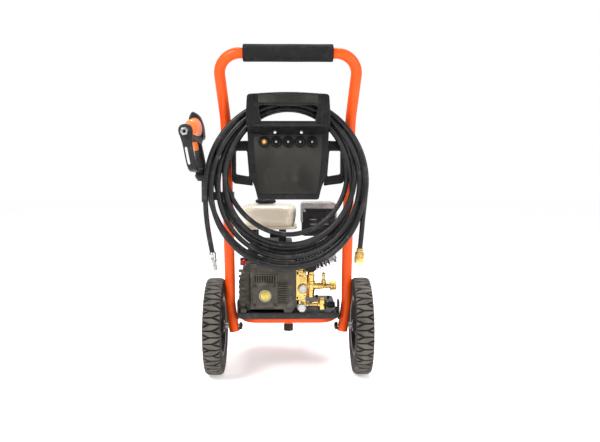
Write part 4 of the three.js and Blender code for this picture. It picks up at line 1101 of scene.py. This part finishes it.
def add_water_parts():
    u = middle("unloader_knob")
    o = middle("outlet_coupler")
    line = (0, o.y, o.z)
    column = (u.x, u.y, 0)
    pipe = lathe("x", [(0, 58.4), (12.5, 58.4), (12.5, 63), (11.6, 64.5), (11.6, 94), (12.8, 95.5),
        (12.8, 99), (11.2, 100), (11.2, 103), (12.8, 104), (12.8, 108), (9.4, 109), (9.4, 120.8), (0, 120.8)],
        line, 40)
    barrel = lathe("z", [(0, 252.5), (9.5, 252.5), (10.6, 254), (10.6, 262), (11.8, 263), (11.8, 270),
        (13.4, 272), (13.4, 298), (11.8, 300), (11.8, 306), (10.6, 307), (10.6, 311), (0, 311)], column, 44)
    nuts = [hexagon("z", 21.4, 310, 320, column), hexagon("z", 18.6, 320, 329, column),
            hexagon("z", 17, 247.5, 254, column), hexagon("x", 19.6, 60.5, 67, line),
            hexagon("x", 19.5, 110, 118.6, line)]
    boss = rod("z", 8.4, o.z, 295.6, (111, o.y, 0), 32, 0.8)
    side_plug = hexagon("y", 13, -592, -584, (u.x, 0, 285))
    plug_root = rod("y", 9, -586, -576, (u.x, 0, 285), 32)
    piece("unloader_body", combined(pipe, barrel, *nuts, boss, side_plug, plug_root), "brass",
        ["unloader_valve"])

    low, high = node_box("unloader_knob")
    knob = lathe("z", [(0, low.z), (10.6, low.z), (12, low.z + 1.5), (16, low.z + 4), (17, low.z + 7),
        (17, high.z - 4), (15.6, high.z - 1), (13, high.z), (0, high.z - 0.6)], column, 48)
    lobes = knurl("z", 1.7, low.z + 5.5, high.z - 3, column, 16.4, 18, 12, 0.8)
    piece("pressure_knob", combined(knob, *lobes), "plastic", ["unloader_knob"], body="unloader_knob")

    low, high = node_box("thermal_valve")
    place = (middle("thermal_valve").x, o.y, 0)
    valve = lathe("z", [(0, low.z), (6.8, low.z), (7, low.z + 1), (7, low.z + 6.4), (5.6, low.z + 7.6),
        (4.5, low.z + 9), (4.5, high.z - 11), (5.9, high.z - 9.6), (5.2, high.z - 7.4), (5.9, high.z - 5.2),
        (5.2, high.z - 3.4), (3, high.z), (1.4, high.z), (1.4, high.z - 6), (0, high.z - 6)], place, 36)
    piece("thermal_relief", combined(valve, hexagon("z", 12, low.z + 0.4, low.z + 6, place)), "brass",
        ["thermal_valve"])

    low, high = node_box("outlet_coupler")
    coupler = lathe("x", [(0, low.x), (9, low.x), (9, low.x + 4), (8, low.x + 5), (8, low.x + 8),
        (13.2, low.x + 9.5), (14.2, low.x + 10.5), (14.2, low.x + 17), (12.8, low.x + 18.2),
        (12.8, low.x + 19.6), (14.2, low.x + 20.8), (14.2, high.x - 2), (13.2, high.x), (6.6, high.x),
        (6, high.x - 0.6), (6, high.x - 11), (0, high.x - 11)], line, 48)
    grips = knurl("x", 0.9, low.x + 10.5, high.x - 1.6, line, 14.1, 24)
    piece("outlet_quick_coupler", combined(coupler, *grips, hexagon("x", 16.4, low.x + 0.2, low.x + 4.4,
        line)), "brass", ["outlet_coupler"])

    inlet_z = middle("inlet_hose_connector").z
    inlet_line = (0, o.y, inlet_z)
    elbow = (106, o.y, 0)
    low, high = node_box("inlet_fitting")
    fitting = combined(lathe("x", [(0, low.x), (10, low.x), (10, low.x + 6), (7.6, low.x + 8), (7.6, 90),
        (9.6, 92), (9.6, 100), (0, 100)], inlet_line, 36), hexagon("z", 22, 208.4, 221, elbow),
        rod("z", 12, 220, 228, elbow, 40, 1.0), hexagon("z", 22, 227, 240, elbow),
        lathe("z", [(0, 239), (8.6, 239), (8.6, 244.4), (7.4, 246), (0, 246)], elbow, 36))
    piece("inlet_elbow", fitting, "brass", ["inlet_fitting"])
    low, high = node_box("inlet_hose_connector")
    tap = lathe("x", [(0, low.x), (7.8, low.x), (8, low.x + 6), (10.4, low.x + 7), (11, low.x + 8),
        (11, low.x + 11), (10, low.x + 12), (11, low.x + 13), (11, low.x + 16), (10, low.x + 17),
        (11, low.x + 18), (11, low.x + 20), (8, high.x - 4), (8, high.x - 0.6), (7.4, high.x), (0, high.x)],
        inlet_line, 40)
    piece("inlet_connector", tap, "plastic", ["inlet_hose_connector"])


def add_pump_drive():
    finish_node("pump_crankshaft", "zinc")
    for i in (1, 2, 3):
        finish_node(f"plunger_{i}", "zinc")
    low, high = node_box("pump_adapter")
    centre = middle("pump_adapter")
    adapter = lathe("y", [
        (14.5, low.y), (74.6, low.y), (76, low.y + 1.4), (76, low.y + 7), (74, low.y + 8), (60, low.y + 10),
        (58, low.y + 12), (58, high.y - 8), (60, high.y - 6.6), (69, high.y - 6), (70, high.y - 5),
        (70, high.y - 1), (69, high.y), (14.5, high.y),
    ], (centre.x, 0, centre.z), 72)
    ears = [screw_head("y", 5, low.y + 7, 5.5, (x, 0, z)) for x, z in circle(centre.x, centre.z, 67, 4,
        first=math.pi / 4)]
    piece("drive_adapter", combined(adapter, *ears), "alloy", ["pump_adapter"])


# ---------------------------------------------------------------- engine
SHAFT = Vector((-72, 0, 296))
ENGINE_NEAR = -425
ROPE_PLACE = (-45, -158, 0)
CYLINDER_LEAN = math.radians(-17)


def around_shaft(radius, count, first=0.0):
    return circle(SHAFT.x, SHAFT.z, radius, count, first=first)


def add_engine_block():
    low, _ = node_box("engine_block")
    details = [screw_head("y", 5.2, ENGINE_NEAR + 0.5, -5.5, (x, 0, z)) for x, z in around_shaft(84, 6, 0.5)
               if -140 < x < 12]
    details.append(plate("front", [box_outline(-128, 4, 372, 394, 6)], ENGINE_NEAR - 3, ENGINE_NEAR + 2, 1.5,
        3))
    details.append(plate("side", [box_outline(-400, -240, 212, 226, 4)], -156, -140, 1.5, 3))
    for x in (-144, 4):
        for y in (-405, -235):
            details.append(bolt("z", 7, low.z + 11.5, low.z + 20, (x, y, 0)))
    for k in range(6):
        z = 250 + 22 * k
        details.append(block(-147, -138, -410, -230, z, z + 4, 1.2))
    details.append(rod("z", 11, 395, 416, (-100, -412, 0), 36, 2))
    details.append(lathe("z", [(0, 226), (9, 226), (9, 240), (13, 241), (13, 250), (0, 252)], (-132, -432, 0),
        36))
    piece("engine_casting", combined(from_node("engine_block"), *details), "engine_black", ["engine_block"],
        soften=1.2)


def add_cylinder_head():
    place = Matrix.Translation((SHAFT.x, -330, SHAFT.z)) @ Matrix.Rotation(CYLINDER_LEAN, 4, "Y")
    fins = [moved(plate("side", [box_outline(-47.5 + k % 2, 47.5 - k % 2, -36.5, 36.5, 7)], 214.3 + 5.2 * k,
                        216.8 + 5.2 * k, 0.6), place) for k in range(4)]
    core = moved(plate("side", [box_outline(-38, 38, -30, 30, 8)], 214.3, 236, 1.5, 3), place)
    cover = moved(plate("side", [box_outline(-34, 34, -26, 26, 9)], 234, 243.6, 3.0, 4), place)
    bolts = [moved(bolt("x", 6, 238, 243.8, (0, y, z)), place) for y in (-30, 30) for z in (-23, 23)]
    studs = [moved(bolt("x", 7, 233, 240, (0, y, z)), place) for y in (-42, 42) for z in (-31, 31)]
    plug = moved(lathe("y", [(0, -58), (4, -58), (4.6, -52), (6.4, -50), (6.4, -44), (8, -43), (8, -38),
        (0, -36)], (226, 0, 14), 28), place)
    piece("head_finned", combined(core, cover, *fins, *bolts, *studs), "alloy", ["cylinder_head"])
    piece("spark_plug_cap", plug, "plastic")
    ribs = [moved(plate("side", [box_outline(-40, 40, -34, 34, 8)], 104, 214, 1.0), place)]
    for k in range(9):
        along = 112 + 11 * k
        ribs.append(moved(plate("side", [box_outline(-52, 52, -44, 44, 9)], along, along + 2.6, 0.7), place))
    piece("cylinder_fins", combined(*ribs), "alloy")


def add_flywheel_side():
    low, high = node_box("recoil_housing")
    far, near = high.y, low.y
    shell = lathe("y", [
        (0, far - 4), (56, far - 4), (77, -149), (92, -171), (92, near), (97.5, near), (97.5, near + 4),
        (96, near + 5), (96, -169), (93, -163), (83, -144), (80, -141), (64, far - 3), (60, far - 0.6),
        (56, far), (0, far),
    ], (SHAFT.x, 0, SHAFT.z), 80)
    slots = []
    for x, z in around_shaft(76, 20):
        angle = math.atan2(z - SHAFT.z, x - SHAFT.x)
        turn = Matrix.Translation((x, 0, z)) @ Matrix.Rotation(-angle, 4, "Y")
        slots.append(moved(block(-15, 15, far - 60, far + 12, -3, 3, 0.8), turn))
    for x, z in around_shaft(34, 12):
        slots.append(rod("y", 4.4, far - 12, far + 6, (x, 0, z), 20))
    shell = carve(shell, slots)
    eye = lathe("z", [(4, 372), (9, 372), (9, 390), (8, 393), (4, 393)], ROPE_PLACE, 28)
    hub = lathe("y", [(0, -2), (20, -2), (20, 0), (17, 0), (15, -1), (0, -1)], (SHAFT.x, 0, SHAFT.z), 48,
        start=far)
    ears = [combined(rod("y", 8, near + 0.4, near + 7, (x, 0, z), 28, 1.0),
                     bolt("y", 5, near + 6.5, near + 12, (x, 0, z))) for x, z in around_shaft(98, 4, 0.6)
            if -160 < x < 12 and z < 392]
    piece("recoil_cover", combined(shell, eye, hub, *ears), "alloy", ["recoil_housing"])

    finish_node("flywheel", "iron")
    rope = rod("z", 2.4, 336, 398, ROPE_PLACE, 14)
    bar = plate("side", [box_outline(-167, -149, 393.4, 410.8, 7)], -70, -20, 3.5, 4)
    ridges = [plate("side", [box_outline(-167.8, -148.2, 395, 409, 5)], x, x + 3, 1.0)
        for x in (-58, -50, -35, -27)]
    piece("recoil_grip", combined(rope, bar, *ridges), "plastic", ["starter_grip"], body="starter_grip")


def add_tank():
    low, high = node_box("fuel_tank")
    centre = (low + high) / 2
    across, deep = (high.x - low.x) / 2, (high.y - low.y) / 2
    rings = []
    # height above the flange, share of the full width, squareness
    profile = [(6, 0.86, 5.5), (9, 0.885, 5.2), (22, 0.93, 5.0), (42, 0.965, 4.6), (58, 0.975, 4.4),
        (66, 0.965, 4.2), (72, 0.935, 4.0), (76.5, 0.88, 3.8), (79.5, 0.79, 3.6), (81.2, 0.66, 3.4),
        (82, 0.5, 3.2)]
    for height, share, power in profile:
        rings.append(oval((centre.x, centre.y, low.z + height), (1, 0, 0), (0, 1, 0), across * share,
                          deep * share, power, 72))
    body = loft(rings)
    flange = plate("top", [box_outline(low.x, high.x, low.y, high.y, 26)], low.z + 2.6, low.z + 6.6, 1.6, 3)
    seam = plate("top", [box_outline(low.x + 3, high.x - 3, low.y + 3, high.y - 3, 25)], low.z, low.z + 8.4,
        1.2, 3)
    cap = middle("fuel_cap")
    neck = rod("z", 27, high.z - 8, high.z - 0.2, (cap.x, cap.y, 0), 56, 1.5)
    piece("tank_shell", combined(body, flange, seam, neck), "cream", ["fuel_tank"])

    c_low, c_high = node_box("fuel_cap")
    lid = lathe("z", [(0, c_low.z), (32, c_low.z), (34.4, c_low.z + 2), (34.6, c_high.z - 5),
        (33, c_high.z - 1.6), (30, c_high.z), (17, c_high.z), (15, c_high.z - 2), (0, c_high.z - 2)],
        (cap.x, cap.y, 0), 64)
    lobes = knurl("z", 2.6, c_low.z + 1.4, c_high.z - 3, (cap.x, cap.y, 0), 33.4, 16, 14, 1.0)
    rib = block(cap.x - 24, cap.x + 24, cap.y - 3, cap.y + 3, c_high.z - 3, c_high.z, 1.2, 2)
    piece("tank_cap", combined(lid, *lobes, rib), "plastic", ["fuel_cap"], body="fuel_cap")


def add_muffler():
    low, high = node_box("muffler_guard")
    near, far = low.y, high.y
    arch = rounded([(low.x, low.z + 46, 1), (low.x, high.z, 15), (high.x, high.z, 15),
        (high.x, low.z + 46, 1), (high.x - 6, low.z + 46, 1), (high.x - 6, high.z - 20, 12),
        (low.x + 6, high.z - 20, 12), (low.x + 6, low.z + 46, 1)], 8)
    hood = plate("front", [arch], near, far, 1.8, 3)
    dots = [rod("z", 2.7, high.z - 24, high.z + 6, (low.x + 22 + 9.6 * k, y, 0), 16) for k in range(9)
            for y in (near + 18, near + 34, near + 50, near + 66)]
    hood = carve(hood, dots)
    ridge_outline = box_outline(low.x + 14, high.x - 14, high.z - 8, high.z - 5, 1.2)
    ridge = plate("front", [ridge_outline], near - 0.8, near + 2, 0.6)
    knob = lathe("z", [(0, -4), (17, -4), (17, -0.6), (12, 0), (0, 0)], (low.x + 62, near + 26, 0), 32,
        start=high.z)
    piece("muffler_hood", combined(hood, ridge, knob), "alloy_bright", ["muffler_guard"])

    front = box_outline(low.x + 3, high.x - 3, low.z, high.z - 18, 12)
    slit_levels = (low.z + 22, low.z + 38, low.z + 54)
    slits = [box_outline(low.x + x, low.x + x + 24, z, z + 4.4, 2) for x in (30, 71) for z in slit_levels]
    holes = [circle(low.x + 28 + 8.6 * k, high.z - 29, 2.7, 16) for k in range(9)]
    face = plate("front", [front, *slits, *holes], near + 0.4, near + 2.6, 0.5, 2)
    lips = [plate("front", [box_outline(low.x + x - 1, low.x + x + 25, z + 5, z + 8, 1.4)], near - 2.2,
        near + 2, 0.6) for x in (30, 71) for z in slit_levels]
    walls = [block(x, x + 2.4, near + 1, far - 2, low.z + 4, low.z + 60, 0.5)
        for x in (low.x + 3.4, high.x - 5.8)]
    piece("muffler_grille", combined(face, *lips, *walls), "black_steel")
    bars = [block(low.x + x, low.x + x + 24, near + 3.2, near + 5, z + 0.4, z + 4, 0.4)
            for x in (30, 71) for z in slit_levels[1:]]
    piece("muffler_shield", combined(*bars), "alloy_bright")

    m_low, m_high = node_box("muffler")
    can = plate("front", [box_outline(m_low.x, m_high.x, 432, m_high.z, 18)], m_low.y, m_high.y, 5.0, 4)
    seams = [plate("front", [box_outline(m_low.x - 1.2, m_high.x + 1.2, 431, m_high.z + 1.2, 18)], y, y + 2.4,
        0.8) for y in (m_low.y + 14, m_high.y - 18)]
    pipe = rod("z", 13, 412.4, 440, (112, -330, 0), 40, 1.0)
    piece("muffler_can", combined(can, *seams, pipe), "iron", ["muffler"])
    screws = [screw_head("y", 4.2, near + 0.8, -3.4, (x, 0, z)) for x in (low.x + 12, high.x - 12)
              for z in (low.z + 12, high.z - 27)]
    piece("muffler_screws", combined(*screws), "zinc")


def add_air_cleaner():
    low, high = node_box("air_cleaner")
    lid = plate("top", [box_outline(low.x, high.x, low.y, high.y, 17)], high.z - 34, high.z, 6.0, 5)
    base = plate("top", [box_outline(low.x + 3, high.x - 3, low.y + 3, high.y - 3, 16)], 436, high.z - 36,
        1.6, 3)
    foot = plate("top", [box_outline(60, 142, -280, -203, 12)], low.z, 437, 1.2)
    x, y = (low.x + high.x) / 2, (low.y + high.y) / 2
    ribs = [block(low.x + 14, high.x - 14, y + d - 1.6, y + d + 1.6, high.z - 2, high.z + 1.6, 1.0)
            for d in (-26, -16, 16, 26)]
    knob = lathe("z", [(0, -1), (10, -1), (10, 3), (7, 5), (7, 8), (4, 10), (0, 10)], (x, y, 0), 36,
        start=high.z)
    wings = [block(x + d - 5, x + d + 5, y - 1.6, y + 1.6, high.z + 3, high.z + 14, 1.4, 1.5)
        for d in (-8, 8)]
    piece("air_cleaner_box", combined(lid, base, foot, *ribs, knob, *wings), "plastic", ["air_cleaner"])


def add_controls():
    low, high = node_box("engine_switch")
    centre = middle("engine_switch")
    knob = lathe("y", [(0, low.y + 3), (6.2, low.y + 3), (7.6, low.y + 4.2), (8, low.y + 6), (8, high.y),
        (0, high.y)], (centre.x, 0, centre.z), 40)
    flag = block(centre.x - 2, centre.x + 2, low.y, low.y + 6, centre.z - 6.4, centre.z + 6.4, 1.0, 1.2)
    piece("switch_knob", combined(knob, flag), "red_plastic", ["engine_switch"], body="engine_switch")

    low, high = node_box("throttle_lever")
    pivot = (-60, -405, 0)
    lever = combined(
        rod("z", 8, low.z, low.z + 3.4, pivot, 36, 0.6),
        hexagon("z", 8, low.z + 3, high.z - 4, pivot),
        block(-64, -56, low.y + 4, -405, low.z, low.z + 2.7, 0.5, 3),
        lathe("z", [(0, low.z), (5, low.z), (5, low.z + 4), (3.6, low.z + 6), (5, high.z - 3), (4, high.z),
                    (0, high.z)], (-60, -438, 0), 28),
    )
    piece("throttle_arm", lever, "zinc", ["throttle_lever"], body="throttle_lever")


# ---------------------------------------------------------------- spray gun
GUN_NUT = (-291, -755, 756)
GUN_LEAN = math.radians(-8)
GUN_TURN = math.radians(-2.4)
GUN_PLACE = (Matrix.Translation(GUN_NUT) @ Matrix.Rotation(GUN_LEAN, 4, "Y")
             @ Matrix.Rotation(GUN_TURN, 4, "Z"))
BORE_RISE = math.tan(math.radians(7))


def gun_point(y, x=0.0, z=0.0):
    return Vector((x, y, z + y * BORE_RISE))


def side_rings(stations, sides=40):
    """Rings for a long body: each station is (y, centre x, centre z, half width, half height, squareness)."""
    return [oval((x, y, z), (1, 0, 0), (0, 0, 1), w, h, power, sides) for y, x, z, w, h, power in stations]


def add_gun():
    head = loft(side_rings([
        (0, 0, 1.5, 14, 14.5, 2.2), (1.2, 0, 1.5, 17.6, 18.2, 2.2), (3.5, 0, 1.5, 19.2, 19.8, 2.3),
        (19, 0, 2, 19.4, 20, 2.3), (21.5, 0, 2.5, 17.5, 18.4, 2.3), (24, 0, 3, 13, 13, 2.2),
    ]))
    bore = sweep([gun_point(4), gun_point(60), gun_point(190)], 12, 32)
    # Neck and guard: front strap down from the head, then back under the fingers to the grip.
    strap_line = [((0, 10, -8), 18, 10), ((0, 10, -22), 15.5, 9), ((0, 10.5, -34), 14.2, 7),
        ((0, 12.5, -46), 14, 5), ((0, 16, -62), 14, 4.2), ((0, 20, -80), 14, 4.2), ((0, 26, -94), 14, 5),
        ((0, 37, -104), 14, 5.6), ((0, 54, -109), 14, 5.6), ((0, 90, -110.4), 13.6, 5.4),
        ((0, 124, -111), 13.6, 5.4), ((0, 148, -112), 14, 5.8)]
    rings = []
    for i, (place, half_width, half_thick) in enumerate(strap_line):
        ahead = Vector(strap_line[min(i + 1, len(strap_line) - 1)][0])
        behind = Vector(strap_line[max(i - 1, 0)][0])
        out = (ahead - behind).cross(Vector((1, 0, 0))).normalized()
        rings.append(oval(place, (1, 0, 0), out, half_width, half_thick, 3.2, 36))
    strap = loft(rings)
    window = plate("front", [box_outline(-10.5, -2.0, -93, -43, 4)], -20, 62, 0.4)
    strap = carve(strap, [window])
    grip_line = [(gun_point(163, 0, 4), 15.5, 19, 2.4), (gun_point(163, 0, -12), 14.6, 18, 2.4),
        ((1.5, 161, -24), 13.4, 16, 2.5), ((3, 158, -44), 13.2, 16, 2.6),
        ((4.2, 155.5, -66), 13.8, 16.6, 2.6), ((5.2, 153, -88), 14.2, 16.4, 2.6),
        ((6, 151, -108), 14.6, 16.2, 2.6), ((6.2, 150, -119), 14.4, 15.6, 2.6),
        ((6.2, 150, -122), 12.8, 14, 2.6)]
    grip = loft([oval(place, (1, 0, 0), (0, 1, 0), w, d, power, 36) for place, w, d, power in grip_line])
    rear_shape = rounded([(-15, 22, 14), (-10, 52, 12), (4, 70, 8), (21, 54, 14), (28.5, 22, 16),
        (26, -22, 14), (-12, -24, 12)], 8)
    rear = plate("front", [rear_shape], 142.4, 189, 5.5, 5)
    tail = plate("front", [[(3 + p.x * 0.72, 6 + p.y * 0.72) for p in rear_shape]], 186, 196, 4.0, 4)
    saddle = loft(side_rings([(24, 0, -10, 12, 9, 3), (60, 2, -10, 13, 10, 3), (110, 5, -15, 14, 14, 3),
                              (146, 7, -18, 15, 18, 3)]))
    body = combined(head, bore, strap, grip, rear, tail, saddle)
    piece("gun_frame", moved(body, GUN_PLACE), "gun_plastic", ["gun_body"], body="gun")

    shell_stations = [
        (40, 8, 11, 11, 14, 2.2), (42, 8, 11, 13.5, 18.5, 2.2), (47, 8.2, 11.5, 15.4, 22, 2.2),
        (80, 8.4, 13, 18, 26, 2.2), (110, 8.2, 14.5, 19.2, 29, 2.2), (136, 7.5, 16, 19.8, 31, 2.2),
        (140.6, 7.5, 16, 19.4, 30.4, 2.2), (141.7, 7.5, 16, 18.4, 29.2, 2.2),
    ]
    shell = carve(loft(side_rings(shell_stations)), [sweep([gun_point(0), gun_point(200)], 12.4, 32)])
    piece("gun_cover", moved(shell, GUN_PLACE), "orange_plastic", ["gun_shell"], body="gun")

    blade = plate("side", [rounded([(98, -14, 4), (128, -12, 4), (120, -30, 8), (124, -50, 8), (112, -54, 6),
                                    (104, -32, 10)], 7)], -3, 11, 2.6, 4)
    piece("trigger_blade", moved(blade, GUN_PLACE), "orange_plastic", ["gun_trigger"], body="gun_trigger")

    nut = combined(
        lathe("y", [(4, -0.3), (11.6, -0.3), (12.4, -1.2), (12.4, -9.4), (11.2, -11), (8, -11.8), (5, -11.8),
                    (4, -10.8)], sides=6),
        lathe("y", [(4, -2), (7.4, -2), (7.4, -11.6), (6.6, -12.3), (4.8, -12.3), (4, -11.4)], sides=36),
    )
    piece("gun_nut", moved(nut, GUN_PLACE), "zinc", ["gun_outlet"], body="gun")
    # A black disc in the outlet: painted shade down the bore.
    bore_end = lathe("y", [(0, -3), (3.9, -3), (3.9, -1), (0, -1)], sides=24)
    piece("gun_bore", moved(bore_end, GUN_PLACE), "painted_shade", body="gun")


def add_holster():
    cup = (-260, -604, 0)
    body = from_node("gun_holster")
    ring = lathe("z", [(25.6, 0), (25.4, 0.4), (25.4, 2.6), (25.6, 3)], cup, 56, start=628)
    strap_bolts = [bolt("y", 6, -622, -629, (x, 0, 568)) for x in (-212, -176)]
    piece("holster_cup", combined(body, ring, *strap_bolts), "gun_plastic", ["gun_holster"], soften=1.0)


# ---------------------------------------------------------------- everything
add_camera()
add_hose()
add_studio()
add_handle()
add_base()
add_deck()
add_wheel("left", -1)
add_wheel("right", 1)
add_panel()
add_nozzles()
add_crankcase()
add_pump_head()
add_water_parts()
add_pump_drive()
add_engine_block()
add_cylinder_head()
add_flywheel_side()
add_tank()
add_muffler()
add_air_cleaner()
add_controls()
add_gun()
add_holster()
